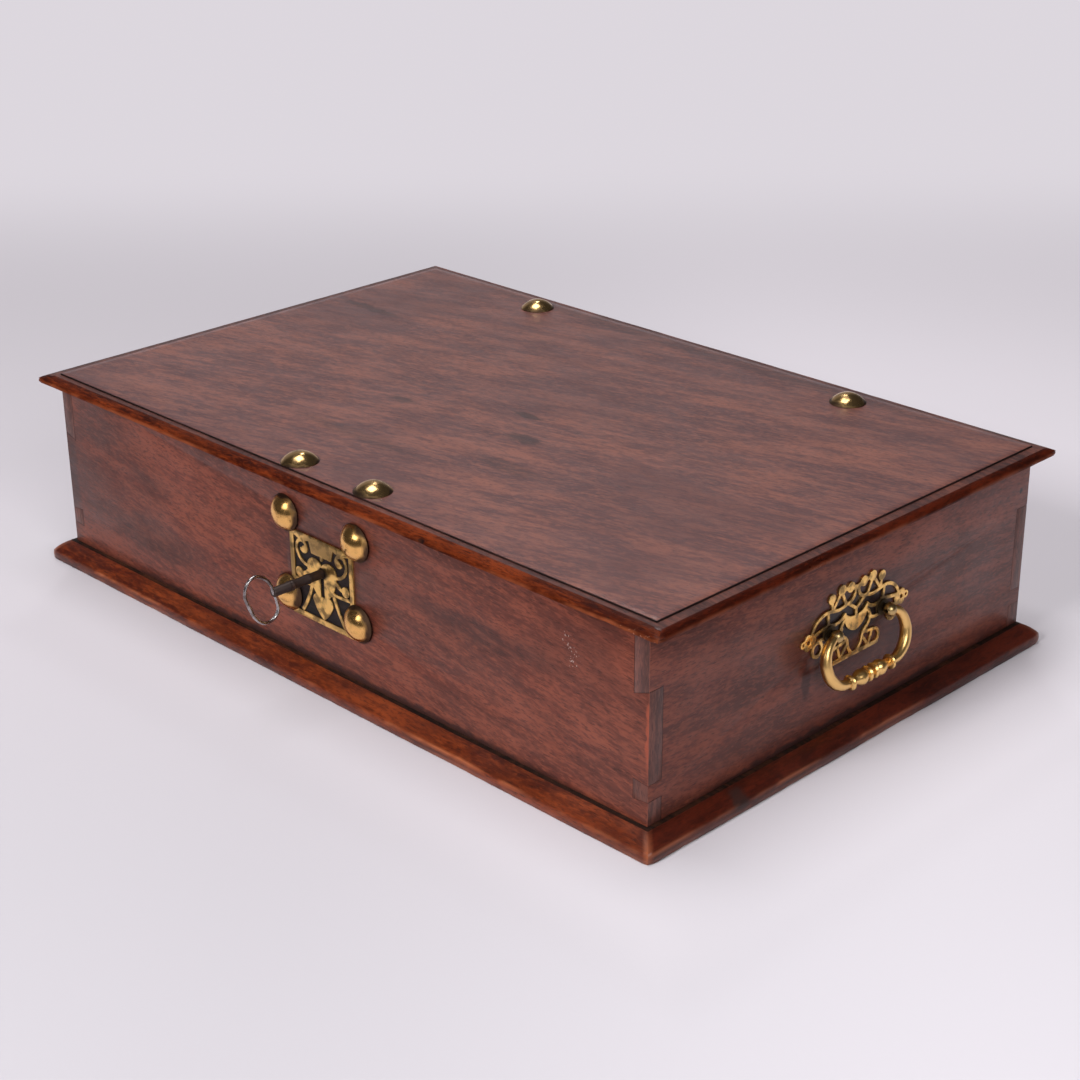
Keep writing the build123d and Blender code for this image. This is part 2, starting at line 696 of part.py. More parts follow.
def handle_fretwork():
    """Outlines of the right half of the pierced handle plate, in squares about its centre."""
    crescent = make_face([
        Line((0, -5.6), (0, 3.0)),
        ThreePointArc((0, 3.0), (5.6, 4.0), (9.6, 7.2)),
        ThreePointArc((9.6, 7.2), (8.0, -0.6), (0, -5.6)),
    ])
    crest_beads = Pos(5.4, 20.2) * Circle(2.9) + Pos(12.6, 20.8) * Circle(3.0)
    crest_beads += Pos(20.6, 18.4) * Circle(2.8)
    crest_links = strip((0, 18.6), (5.4, 20.2), width=2.6) + strip((5.4, 20.2), (12.6, 20.8), width=2.2)
    crest_scallop = strip((1.2, 17.6), (3.0, 13.4), (8.6, 11.8), width=1.9)
    crest_rays = strip((9.0, 12.2), (12.6, 19.6), width=1.7) + strip((19.0, 12.4), (13.4, 19.8), width=1.7)
    bead_stem = strip((19.6, 12.2), (20.6, 17.0), width=1.9)
    swag = strip((7.8, 11.8), (13.8, 10.6), (20.4, 11.8), width=1.9)
    centre_rays = strip((0, 6.6), (7.6, 12.0), width=1.7) + strip((0, 2.4), (0, 7.0), width=1.8)
    outer_arch = strip((20.4, 11.6), (28.4, 11.2), (33.4, 7.8), (35.6, 3.4), width=1.9)
    arch_bar = strip((23.2, 12.2), (22.6, 5.4), width=1.7)
    arch_foot = strip((9.2, 6.0), (15.6, 3.2), (22.6, 4.8), width=1.9)
    arch_foot += strip((22.0, 4.6), (36.0, 2.4), width=2.0)
    post_seat = Pos(post_spacing / 2 / square, 0) * Circle((post_foot_radius + snug) / square)
    trefoil = Pos(36.4, 0.4) * Circle(3.9) + Pos(38.8, 2.6) * Circle(2.4) + Pos(38.8, -1.8) * Circle(2.4)
    trefoil += Pos(42.2, 0.4) * Circle(2.2)
    trefoil -= Pos(38.4, 0.4) * Circle(1.2) + Pos(42.4, 0.4) * Circle(0.9)
    lower_loop = Pos(31.0, -6.0) * (Circle(4.8) - Circle(2.9))
    loop_tie = strip((26.0, -1.6), (30.0, -1.4), width=2.0)
    inner_scroll = strip((9.0, 3.0), (12.0, -2.6), (9.0, -7.0), (6.0, -11.4), (2.0, -18.2), width=1.9)
    seat_scroll = strip((11.4, -1.6), (16.0, -3.4), (21.0, -2.6), width=1.9)
    foot_rail = strip((0, -18.8), (19.0, -18.8), width=2.4)
    foot_braces = strip((6.2, -11.4), (11.6, -18.4), width=1.7)
    foot_braces += strip((11.6, -18.4), (14.2, -11.6), width=1.7)
    foot_end = strip((18.8, -18.4), (20.0, -13.6), (16.4, -10.6), (11.0, -10.0), (7.6, -8.8), width=1.8)
    return (crescent, crest_beads, crest_links, crest_scallop, crest_rays, bead_stem, swag, centre_rays,
            outer_arch, arch_bar, arch_foot, post_seat, trefoil, lower_loop, loop_tie, inner_scroll,
            seat_scroll, foot_rail, foot_braces, foot_end)


def handle_plate():
    """Pierced plate on the right side board."""
    x_range = (side, side + handle_plate_thickness)
    drawing = [Pos(0, handle_z) * scale(outline, square) for outline in handle_fretwork()]
    pieces = [side_prism(outline, *x_range) for outline in drawing]
    solid = both_halves(pieces, Plane.XZ, block(x_range, (0, back), (0, rim)))
    return Pos(0, handle_y, 0) * solid - post_holes()


pivot_x = side + handle_plate_thickness + post_stand_out
post_spots = (handle_y - post_spacing / 2, handle_y + post_spacing / 2)


def post_holes():
    """Holes for both posts, through the right side board and its plate."""
    inner = side - board
    outer = side + handle_plate_thickness
    return [rod((inner, y, handle_z), (outer, y, handle_z), post_shank_radius + snug) for y in post_spots]


def handle_posts():
    """Two posts: foot on the plate, drilled ball head outside, shank through the board."""
    posts = []
    for y in post_spots:
        face = side + handle_plate_thickness
        inner = side - board - nut_thickness - shank_past_nut
        post = rod((inner, y, handle_z), (face, y, handle_z), post_shank_radius)
        post += rod((face, y, handle_z), (face + post_foot, y, handle_z), post_foot_radius)
        post += rod((face, y, handle_z), (pivot_x, y, handle_z), post_stem_radius)
        post += Pos(pivot_x, y, handle_z) * Sphere(post_head_radius)
        bore = bail_pin_radius + running
        reach = post_head_radius + bore
        post -= rod((pivot_x, y - reach, handle_z), (pivot_x, y + reach, handle_z), bore)
        posts.append(post)
    return posts


def handle_nuts():
    """Round nuts on the posts' shanks, inside the box."""
    inner = side - board
    nuts = []
    for y in post_spots:
        nut = rod((inner - nut_thickness, y, handle_z), (inner, y, handle_z), nut_radius)
        nut -= rod((inner - nut_thickness, y, handle_z), (inner, y, handle_z), post_shank_radius + snug)
        nuts.append(nut)
    return nuts


def grip_bead(centre, length, radius):
    """Turned swelling on the grip, which runs along Y."""
    outline = Ellipse(length / 2, radius) & Pos(0, radius) * Rectangle(length, 2 * radius)
    solid = revolve(outline, Axis.X)
    return Rot(0, 0, 90) * Pos(centre, 0, 0) * solid


def bail():
    """Bail of the right handle: pins into the posts, round arms and a turned grip."""
    shoulder = post_spacing / 2 + post_head_radius + bail_gap
    half = bail_width / 2
    corners = [(shoulder, 0), (half, 0), (half, -bail_drop), (-half, -bail_drop), (-half, 0), (-shoulder, 0)]
    upright = Plane(origin=(0, 0, 0), x_dir=(0, 1, 0), z_dir=(1, 0, 0))
    bend = min(bail_shoulder_radius, bend_limit * (half - shoulder))
    radii = [bend, bail_corner_radius, bail_corner_radius, bend]
    path = upright * FilletPolyline(*corners, radius=radii)
    pen = Plane(origin=path @ 0, z_dir=path % 0) * Circle(bail_radius)
    solid = sweep(pen, path)
    for end in (-1, 1):
        inner = post_spacing / 2 - bail_pin_depth
        solid += rod((0, end * inner, 0), (0, end * (shoulder + bail_pin_radius), 0), bail_pin_radius)
    first_ring = grip_ring_width * (1 - grip_lap)
    barrel = first_ring + grip_ring_width / 2 + grip_bead_length / 2 - grip_ring_width * grip_lap
    last_ring = barrel + grip_bead_length / 2 + grip_ring_width / 2 - grip_ring_width * grip_lap
    turnings = [(centre, grip_ring_width, grip_ring_radius) for centre in (first_ring, last_ring)]
    turnings.append((barrel, grip_bead_length, grip_bead_radius))
    for centre, length, radius in turnings:
        for end in (-1, 1):
            solid += Pos(0, 0, -bail_drop) * grip_bead(end * centre, length, radius)
    solid = Rot(0, -bail_tilt, 0) * solid
    for end in (-1, 1):
        middle = end * (shoulder + post_foot_radius - post_head_radius + toe_width / 2)
        solid += block(
            (-post_stand_out + snug, 0), (middle - toe_width / 2, middle + toe_width / 2), (-toe_height, 0))
    return Pos(pivot_x, handle_y, handle_z) * solid


def left_of(shape):
    """The same fitting on the left end of the box."""
    if isinstance(shape, (list, tuple)):
        return [mirror(one, Plane.YZ) for one in shape]
    return mirror(shape, Plane.YZ)


# ------------------------------------------------------------------ parts

lock_pair, hinge_pair = lid_stud_spots()

nodes = {
    "base_board": base_board(),
    "front_board": front_board(),
    "back_board": back_board(),
    "left_side_board": left_of(right_side_board()),
    "right_side_board": right_side_board(),
    "base_nails": base_nails(),
    "lid_board": lid_board(),
    "lid_lock_studs": lid_studs(lock_pair),
    "lid_hinge_studs": lid_studs(hinge_pair),
    "staple_plate": staple_plate(),
    "hinge_case_leaf_left": hinge_case_leaf(-hinge_spacing / 2),
    "hinge_case_leaf_right": hinge_case_leaf(hinge_spacing / 2),
    "hinge_lid_leaf_left": hinge_lid_leaf(-hinge_spacing / 2),
    "hinge_lid_leaf_right": hinge_lid_leaf(hinge_spacing / 2),
    "hinge_pin_left": hinge_pin(-hinge_spacing / 2),
    "hinge_pin_right": hinge_pin(hinge_spacing / 2),
    "hinge_case_nails": hinge_case_nails(),
    "hinge_lid_nails": hinge_lid_nails(),
    "escutcheon_plate": escutcheon_plate(),
    "escutcheon_studs": escutcheon_studs(),
    "lock_plate": lock_plate(),
    "lock_cover": lock_cover(),
    "lock_cover_rivets": cover_rivets(),
    "lock_bolt": lock_bolt(),
    "lock_stumps": lock_stumps(),
    "lock_spring": lock_spring(),
    "key": key(),
    "handle_plate_right": handle_plate(),
    "handle_posts_right": handle_posts(),
    "handle_nuts_right": handle_nuts(),
    "bail_right": bail(),
    "handle_plate_left": left_of(handle_plate()),
    "handle_posts_left": left_of(handle_posts()),
    "handle_nuts_left": left_of(handle_nuts()),
    "bail_left": left_of(bail()),
}

for node, shape in nodes.items():
    solids = shape if isinstance(shape, list) else [shape]
    export_step(Compound(children=[s for one in solids for s in one.solids()]), f"parts/{node}.step")
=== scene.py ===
from math import asin, cos, exp, pi, radians, sin, sqrt
import bmesh
import bpy
from mathutils import Matrix, Vector, noise


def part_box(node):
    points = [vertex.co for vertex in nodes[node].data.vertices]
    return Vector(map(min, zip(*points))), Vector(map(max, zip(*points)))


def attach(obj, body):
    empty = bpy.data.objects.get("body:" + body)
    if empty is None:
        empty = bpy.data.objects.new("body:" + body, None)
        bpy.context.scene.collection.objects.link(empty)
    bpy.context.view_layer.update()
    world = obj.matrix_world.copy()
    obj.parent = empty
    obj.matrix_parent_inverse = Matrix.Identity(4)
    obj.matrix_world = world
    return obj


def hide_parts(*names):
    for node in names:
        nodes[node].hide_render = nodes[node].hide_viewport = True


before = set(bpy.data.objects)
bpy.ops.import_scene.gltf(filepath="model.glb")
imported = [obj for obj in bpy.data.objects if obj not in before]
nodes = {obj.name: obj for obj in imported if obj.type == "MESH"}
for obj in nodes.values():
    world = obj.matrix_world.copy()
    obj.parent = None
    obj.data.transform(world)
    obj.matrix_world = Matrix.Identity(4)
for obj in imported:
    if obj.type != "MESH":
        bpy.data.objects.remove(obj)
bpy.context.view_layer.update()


# ------------------------------------------------------------------ base board
# The moulded mahogany board that the box stands on. It is planed to a soft bevel on all four edges
# above a plain upright edge, nailed to the carcass from below, and rubbed and dented along its rim.

mm = 0.001
base_low, base_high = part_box("base_board")
base_moulding = 9 * mm
base_upright = 5.5 * mm
base_ease = 0.2 * mm
base_field_lip = 0.3 * mm
base_foot_ease = 0.8 * mm
base_roundness = 0.3
moulding_steps = 8
grid_pitch = 4 * mm


def planed_edge(width, spring, top, start, roundness):
    """Outward reach and height of the points down a planed edge, between a flat and a quarter round."""
    points = []
    for step in range(moulding_steps + 1):
        turn = pi / 2 * step / moulding_steps
        flat = step / moulding_steps
        across = roundness * sin(turn) + (1 - roundness) * flat
        down = roundness * (1 - cos(turn)) + (1 - roundness) * flat
        points.append((start + (width - start) * across, top - (top - spring) * down))
    return points


def face_outwards():
    """Leaves edit mode with every face of the piece turned outwards."""
    bpy.ops.mesh.select_all(action="SELECT")
    bpy.ops.mesh.normals_make_consistent(inside=False)
    bpy.ops.object.mode_set(mode="OBJECT")


def moulded_board(name, centre, half, profile, end_profile=None):
    """Board made from a grid for its field, with the boundary extruded outwards and down."""
    end_profile = end_profile or profile
    bpy.ops.object.select_all(action="DESELECT")
    columns = round(2 * half[0] / grid_pitch)
    rows = round(2 * half[1] / grid_pitch)
    bpy.ops.mesh.primitive_grid_add(x_subdivisions=columns, y_subdivisions=rows, size=2)
    board = bpy.context.object
    board.name = name
    bpy.ops.object.mode_set(mode="EDIT")
    reach, height = profile[0]
    end_reach = reach
    bpy.ops.transform.resize(value=(half[0], half[1], 1))
    bpy.ops.transform.translate(value=(centre[0], centre[1], height))
    bpy.ops.mesh.region_to_loop()
    for (outward, level), (end_outward, _) in zip(profile[1:], end_profile[1:]):
        bpy.ops.mesh.extrude_edges_move(TRANSFORM_OT_translate={"value": (0, 0, level - height)})
        grown = ((half[0] + end_outward) / (half[0] + end_reach), (half[1] + outward) / (half[1] + reach), 1)
        bpy.ops.transform.resize(value=grown, center_override=(centre[0], centre[1], level))
        reach, end_reach, height = outward, end_outward, level
    bpy.ops.mesh.edge_face_add()
    face_outwards()
    return board


def past_field(point, centre, half):
    """How far a point lies past the ends and past the long sides of the field, in plan."""
    return abs(point.x - centre[0]) - half[0], abs(point.y - centre[1]) - half[1]


corner_wear = 1.3 * mm
mitre_width = 0.2 * mm
bare_arris = 0.8 * mm
bare_mitre = 0.5 * mm
slow_waves = 22
quick_waves = 130


def rub_edges(board, centre, half, reach, arrises, depth, dents):
    """Takes the moulding back unevenly and stores how bare each point is rubbed."""
    bare = board.data.attributes.new("rubbed", "FLOAT", "POINT")
    for vertex in board.data.vertices:
        point = vertex.co
        past_end, past_side = past_field(point, centre, half)
        out = max(past_end, past_side)
        if out <= 0:
            continue
        slow = noise.noise(point * slow_waves)
        quick = noise.noise(point * quick_waves + Vector((7, 3, 1)))
        taken = depth * out / reach * max(0, 0.45 + 0.9 * slow + 0.5 * quick)
        dent = 0
        for place, radius, cut in dents:
            dent = max(dent, exp(-((point - Vector(place)).length / radius) ** 2) * cut)
        taken += dent
        off_mitre = abs(past_end - past_side)
        if off_mitre < mitre_width:
            taken += corner_wear * out / reach
        inward = Vector((centre[0], centre[1], point.z)) - point
        inward.x = inward.x if past_end > 0 else 0
        inward.y = inward.y if past_side > 0 else 0
        vertex.co = point + inward.normalized() * taken
        worn = 0
        for edge_reach, edge_height in arrises:
            away = sqrt((out - edge_reach) ** 2 + (point.z - edge_height) ** 2)
            worn = max(worn, exp(-(away / bare_arris) ** 2))
        worn *= min(1, max(0, 0.35 + 1.5 * slow + 0.9 * quick))
        worn = max(worn, 0.7 * exp(-(off_mitre / bare_mitre) ** 2) * min(1, out / reach + 0.2))
        bare.data[vertex.index].value = worn


def put(tree, kind, sockets=(), **settings):
    """Adds a node; a socket's value is either a number or another node's output, which is linked."""
    made = tree.nodes.new("ShaderNode" + kind)
    for key, value in settings.items():
        setattr(made, key, value)
    for key, value in dict(sockets).items():
        if isinstance(value, bpy.types.NodeSocket):
            tree.links.new(value, made.inputs[key])
        else:
            made.inputs[key].default_value = value
    return made


def drawn_noise(tree, place, along, scale, stretch, shift, detail):
    """Noise drawn out one way; scale is its count per metre across that way."""
    size = [scale / stretch if axis == along else scale for axis in "XYZ"]
    spot = put(tree, "Mapping", {"Vector": place, "Scale": size, "Location": shift}).outputs[0]
    return put(tree, "TexNoise", {"Vector": spot, "Scale": 1.0, "Detail": detail}).outputs["Fac"]


def grain_noise(tree, along, scale, stretch, detail, offset):
    """Noise drawn out along the grain, as pores are."""
    place = put(tree, "TexCoord").outputs["Object"]
    return drawn_noise(tree, place, along, scale, stretch, (offset, offset * 0.7, offset * 0.3), detail)


def slanted_noise(tree, along, scale, slant, offset, stretch, detail):
    """Noise whose bands cross the grain at a slant, as ribbon figure does."""
    place = put(tree, "TexCoord").outputs["Object"]
    turned_place = put(tree, "Mapping", {"Vector": place, "Rotation": slant}).outputs[0]
    return drawn_noise(tree, turned_place, along, scale, stretch, (offset, offset, offset), detail)


def stretch_range(tree, value, low, high, to_low=0.0, to_high=1.0):
    """Maps low..high to to_low..to_high, eased and clamped."""
    sockets = {"Value": value, "From Min": low, "From Max": high, "To Min": to_low, "To Max": to_high}
    return put(tree, "MapRange", sockets, interpolation_type="SMOOTHSTEP").outputs["Result"]


def blend_colour(tree, share, first, second, how="MIX"):
    """Mixes two colours, each a tuple or a socket, by a share."""
    mixer = put(tree, "Mix", data_type="RGBA", blend_type=how)
    for socket, value in ((mixer.inputs[0], share), (mixer.inputs[6], first), (mixer.inputs[7], second)):
        if isinstance(value, bpy.types.NodeSocket):
            tree.links.new(value, socket)
        elif isinstance(value, tuple):
            socket.default_value = (*value, 1)
        else:
            socket.default_value = value
    return mixer.outputs[2]


def reckon(tree, operation, *values):
    """A Math node on the values in turn."""
    return put(tree, "Math", dict(enumerate(values)), operation=operation).outputs[0]


def tinted(tree, colour, tint, layer, low, high, strength):
    """The colour turned towards a tint where a layer of noise goes from low to high."""
    share = reckon(tree, "MULTIPLY", stretch_range(tree, layer, low, high), strength)
    return blend_colour(tree, share, colour, tint)


mark_waves = 160.0
mark_wander = 6 * mm
mark_core = 0.5


def spot_mask(tree, centre, size):
    """One at a place on the piece, falling to none at a ragged ellipse of the given size round it."""
    place = put(tree, "TexCoord").outputs["Object"]
    wander = put(tree, "TexNoise", {"Vector": place, "Scale": mark_waves, "Detail": 3.0}).outputs["Color"]
    moved = put(tree, "VectorMath", {0: wander, 1: (-0.5, -0.5, -0.5)}, operation="ADD").outputs[0]
    moved = put(tree, "VectorMath", {0: moved, "Scale": mark_wander}, operation="SCALE").outputs[0]
    place = put(tree, "VectorMath", {0: place, 1: moved}, operation="ADD").outputs[0]
    local = put(tree, "VectorMath", {0: place, 1: tuple(centre)}, operation="SUBTRACT").outputs[0]
    local = put(tree, "VectorMath", {0: local, 1: tuple(size)}, operation="DIVIDE").outputs[0]
    away = put(tree, "VectorMath", {0: local}, operation="LENGTH").outputs["Value"]
    return stretch_range(tree, away, 1.0, mark_core)


def raise_relief(tree, shader, height, strength, distance, socket="Normal"):
    """Makes a surface catch the light as if its pattern stood up by a distance."""
    bump = put(tree, "Bump", {"Height": height, "Strength": strength, "Distance": distance})
    tree.links.new(bump.outputs[0], shader.inputs[socket])


def fresh_material(name):
    """A new material, its tree and its shader."""
    material = bpy.data.materials.new(name)
    material.use_nodes = True
    tree = material.node_tree
    return material, tree, tree.nodes["Principled BSDF"]


# Each mottle has its bands per metre, its stretch along the grain, its strength and its noise offset.
wood_mottles = ((80, 4.5, 0.65, 8.8), (230, 5.0, 0.5, 4.9), (700, 3.0, 0.5, 1.9))
coat_roughness = 0.2
pore_relief = 0.25 * mm


def mahogany(board, name, along, dark, mid, light, roughness, seed, gloss=0.42, contrast=1.3, slant=(0, 0, 0),
             marks=(), rubbed=None, pale_marks=(), drawn_out=1.0, shine=0.2, speckle=1.0):
    """Gives a board old waxed mahogany: ribbons, flecks and pores along the grain, and marks."""
    material, tree, shader = fresh_material(name)
    board.data.materials.append(material)
    ribbon = slanted_noise(tree, along, 60, slant, seed, 6 * drawn_out, 5)
    figure = slanted_noise(tree, along, 45, slant, seed + 6.1, 4, 3)
    fleck = slanted_noise(tree, along, 640, slant, seed + 3.1, 6, 3)
    long_fleck = slanted_noise(tree, along, 260, slant, seed + 5.7, 7 * drawn_out, 4)
    cloud = grain_noise(tree, along, 14, 1.5, 4, seed + 9.3)
    pore = grain_noise(tree, along, 1700, 7, 2, seed + 2.2)
    colour = blend_colour(tree, stretch_range(tree, ribbon, 0.25, 0.7), dark, mid)
    for layer, tint, low, high, strength in (
            (figure, light, 0.46, 0.70, 0.75),
            (figure, dark, 0.46, 0.30, 0.7),
            (long_fleck, light, 0.5, 0.72, 0.6),
            (fleck, light, 0.54, 0.68, 0.55),
            (fleck, dark, 0.46, 0.32, 0.55)):
        colour = tinted(tree, colour, tint, layer, low, high, strength * contrast)
    for scale, stretch, strength, shift in wood_mottles:
        mottle = slanted_noise(tree, along, scale, slant, seed + shift, stretch, 4)
        colour = tinted(tree, colour, light, mottle, 0.5, 0.68, strength * speckle)
        colour = tinted(tree, colour, dark, mottle, 0.5, 0.34, strength * speckle)
    colour = tinted(tree, colour, dark, cloud, 0.5, 0.3, 0.5)
    pit = stretch_range(tree, pore, 0.46, 0.3)
    pore_dark = tuple(0.4 * part for part in dark)
    colour = blend_colour(tree, reckon(tree, "MULTIPLY", pit, 0.55), colour, pore_dark)
    for centre, size, strength, tint in marks:
        share = reckon(tree, "MULTIPLY", spot_mask(tree, centre, size), strength)
        colour = blend_colour(tree, share, colour, tint)
    for centre, size, tint in pale_marks:
        scratch = stretch_range(tree, grain_noise(tree, along, 700, 1, 4, seed + 1.7), 0.6, 0.68)
        share = reckon(tree, "MULTIPLY", spot_mask(tree, centre, size), scratch)
        colour = blend_colour(tree, share, colour, tint)
    if rubbed:
        share = put(tree, "Attribute", attribute_name="rubbed").outputs["Fac"]
        colour = blend_colour(tree, share, colour, rubbed)
    tree.links.new(colour, shader.inputs["Base Color"])
    smear = grain_noise(tree, along, 60, 2, 4, seed + 4.4)
    rough = stretch_range(tree, smear, 0.3, 0.7, roughness - 0.07, roughness + 0.08)
    tree.links.new(rough, shader.inputs["Roughness"])
    shader.inputs["Specular IOR Level"].default_value = shine
    shader.inputs["Coat Weight"].default_value = gloss
    shader.inputs["Coat Roughness"].default_value = coat_roughness
    short_relief = reckon(tree, "MULTIPLY", fleck, 0.6)
    long_relief = reckon(tree, "MULTIPLY", long_fleck, 0.9)
    relief = reckon(tree, "ADD", short_relief, long_relief)
    relief = reckon(tree, "SUBTRACT", relief, reckon(tree, "MULTIPLY", pit, 0.5))
    raise_relief(tree, shader, relief, 0.4, pore_relief)
    raise_relief(tree, shader, relief, 0.2, pore_relief, socket="Coat Normal")


moulding_dark = (0.034, 0.0050, 0.0024)
moulding_mid = (0.105, 0.0145, 0.0050)
moulding_light = (0.225, 0.042, 0.010)
# Painted shade: the bevels on the ends of the base are coloured darker than those on the front and back.
shaded_base_end_mid = tuple(0.75 * part for part in moulding_mid)
ledge_dirt_and_shade = ((0.008, 0.005, 0.004), (0.020, 0.010, 0.008), (0.060, 0.020, 0.010))

base_half = (base_high.x - base_moulding, (base_high.y - base_low.y) / 2 - base_moulding)
base_centre = (0, (base_low.y + base_high.y) / 2)
base_profile = [(0, base_high.z)]
base_profile += planed_edge(
    base_moulding - base_ease, base_upright, base_high.z - base_ease, base_field_lip, base_roundness)
base_profile += [(base_moulding, base_upright * 0.6), (base_moulding - base_ease, 0.5 * mm)]
base_profile.append((base_moulding - base_foot_ease, 0))
base_board = moulded_board("base_board_wood", base_centre, base_half, base_profile)
base_dents = [
    ((120 * mm, base_low.y, 8 * mm), 5 * mm, 0.7 * mm),
    ((-60 * mm, base_low.y, 7 * mm), 6 * mm, 0.5 * mm),
    ((base_high.x, -101 * mm, 9 * mm), 5 * mm, 0.8 * mm),
]
base_arrises = [(base_moulding, base_upright), (base_moulding, 0.0)]
rub_edges(base_board, base_centre, base_half, base_moulding, base_arrises, 0.45 * mm, base_dents)
knot = ((base_high.x - 2 * mm, -98 * mm, 8 * mm), (9 * mm, 7 * mm, 9 * mm), 0.75, (0.028, 0.016, 0.014))
mahogany(base_board, "base_wood", "X", moulding_dark, moulding_mid, moulding_light, 0.36, 11.0, gloss=0.0,
         contrast=1.1, marks=[knot], rubbed=(0.34, 0.095, 0.036), shine=0.4, speckle=0.7)
mahogany(base_board, "ledge_dirt_and_shade", "X", *ledge_dirt_and_shade, 0.6, 13.0, gloss=0.0)
mahogany(base_board, "shaded_base_end_wood", "Y", moulding_dark, shaded_base_end_mid, moulding_mid, 0.36, 12.0, gloss=0.0,
         contrast=1.1, marks=[knot], rubbed=(0.26, 0.075, 0.032), shine=0.4, speckle=0.9)
# Painted shade with dirt: the ledge of the base just round the carcass is near black, where the carcass meets
# the base.
dark_ledge_low, dark_ledge_high = -6.8 * mm, 0.4 * mm
for face in base_board.data.polygons:
    past_end, past_side = past_field(face.center, base_centre, base_half)
    past_ledge = max(past_end, past_side)
    if face.normal.z > 0.9 and dark_ledge_low < past_ledge < dark_ledge_high:
        face.material_index = 1
    else:
        face.material_index = 2 if past_end > past_side and past_ledge > 0 else 0
bpy.ops.object.shade_smooth_by_angle(angle=radians(50))
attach(base_board, "case")
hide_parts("base_board")


# ------------------------------------------------------------------ carcass boards
# Four boards of the same mahogany, dovetailed at the corners. The front and back carry the tails,
# so their end grain shows on the ends, and the pins of the end boards show on the front and back.

weld = 0.01 * mm


def softened_copy(node, name, softness, corner=40):
    """A copy of a CAD node with its triangles merged and its sharp arrises rubbed round."""
    bpy.ops.object.select_all(action="DESELECT")
    piece = bpy.data.objects.new(name, nodes[node].data.copy())
    bpy.context.scene.collection.objects.link(piece)
    piece.select_set(True)
    bpy.context.view_layer.objects.active = piece
    piece.data.materials.clear()
    bpy.ops.mesh.customdata_custom_splitnormals_clear()
    bpy.ops.object.mode_set(mode="EDIT")
    bpy.ops.mesh.select_all(action="SELECT")
    bpy.ops.mesh.remove_doubles(threshold=weld)
    bpy.ops.mesh.dissolve_limited(angle_limit=radians(0.5))
    bpy.ops.object.mode_set(mode="OBJECT")
    if softness:
        bpy.ops.object.modifier_add(type="BEVEL")
        bevel = piece.modifiers[-1]
        bevel.width = softness
        bevel.segments = 2
        bevel.limit_method = "ANGLE"
        bevel.angle_limit = radians(corner)
        bpy.ops.object.modifier_apply(modifier=bevel.name)
    bpy.ops.object.shade_smooth_by_angle(angle=radians(corner))
    return piece


front_dark = (0.073, 0.0195, 0.0130)
front_mid = (0.134, 0.0288, 0.0167)
front_light = (0.210, 0.054, 0.0300)
end_grain = ((0.060, 0.022, 0.017), (0.110, 0.036, 0.027), (0.168, 0.055, 0.038))
joint_dirt = ((0.006, 0.004, 0.004), (0.012, 0.006, 0.005), (0.030, 0.012, 0.009))
rubbed_corner = (front_mid, (0.210, 0.050, 0.024), (0.420, 0.120, 0.060))
scuff = (0.34, 0.25, 0.23)
# Dark colour for dirt and stains, and for the painted shade along the foot of the boards.
dirt_and_shade = (0.022, 0.013, 0.013)
front_low, front_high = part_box("front_board")
face_y = front_low.y
corner_x = front_high.x
end_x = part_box("right_side_board")[1].x
ledge_z = base_high.z
arris_softness = 0.45 * mm
corner_reach = 0.6 * mm
mark_depth = 8 * mm
stud_shadow_reach = 13.8 * mm
stud_shadow_drift = 0.8 * mm


def carcass_board(node, along, slot, seed, slant, marks=(), pale_marks=()):
    """One board of the carcass, with its end grain on the faces that cross the grain."""
    board = softened_copy(node, node + "_wood", arris_softness)
    mahogany(board, slot, along, front_dark, front_mid, front_light, 0.46, seed, gloss=0.26, slant=slant,
             marks=marks, pale_marks=pale_marks, contrast=1.0)
    mahogany(board, slot + "_end_grain", "Z", *end_grain, 0.5, seed + 20)
    mahogany(board, slot + "_joint", along, *joint_dirt, 0.6, seed)
    mahogany(board, slot + "_arris", "Z", *rubbed_corner, 0.4, seed, contrast=1.5)
    for face in board.data.polygons:
        lengthwise = face.normal.x if along == "X" else face.normal.y
        by_end = abs(face.center.x) > corner_x - corner_reach
        by_face = abs(face.center.y) > -face_y - corner_reach
        if max(abs(part) for part in face.normal) < 0.98:
            face.material_index = 3 if by_end and by_face else 2
        else:
            face.material_index = 1 if abs(lengthwise) > 0.9 else 0
    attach(board, "case")
    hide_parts(node)


def node_centres(node, plane):
    """Centres of a node's separate solids in two of its axes, from its loose triangles."""
    mesh = bmesh.new()
    mesh.from_mesh(nodes[node].data)
    bmesh.ops.remove_doubles(mesh, verts=mesh.verts, dist=weld)
    left = set(mesh.verts)
    centres = []
    while left:
        group = set()
        reached = [left.pop()]
        while reached:
            vertex = reached.pop()
            group.add(vertex)
            for link in vertex.link_edges:
                other = link.other_vert(vertex)
                if other in left:
                    left.remove(other)
                    reached.append(other)
        spans = [[vertex.co[axis] for vertex in group] for axis in plane]
        centres.append(tuple((min(span) + max(span)) / 2 for span in spans))
    mesh.free()
    return sorted(centres)


def on_front(x, z, wide, high):
    """Centre and reach of a mark on the front, given in millimetres."""
    return (x * mm, face_y, z * mm), (wide * mm, mark_depth, high * mm)


def on_end(way, y, z, long, high):
    """Centre and reach of a mark on the right or left end, given in millimetres."""
    return (way * end_x, y * mm, z * mm), (mark_depth, long * mm, high * mm)


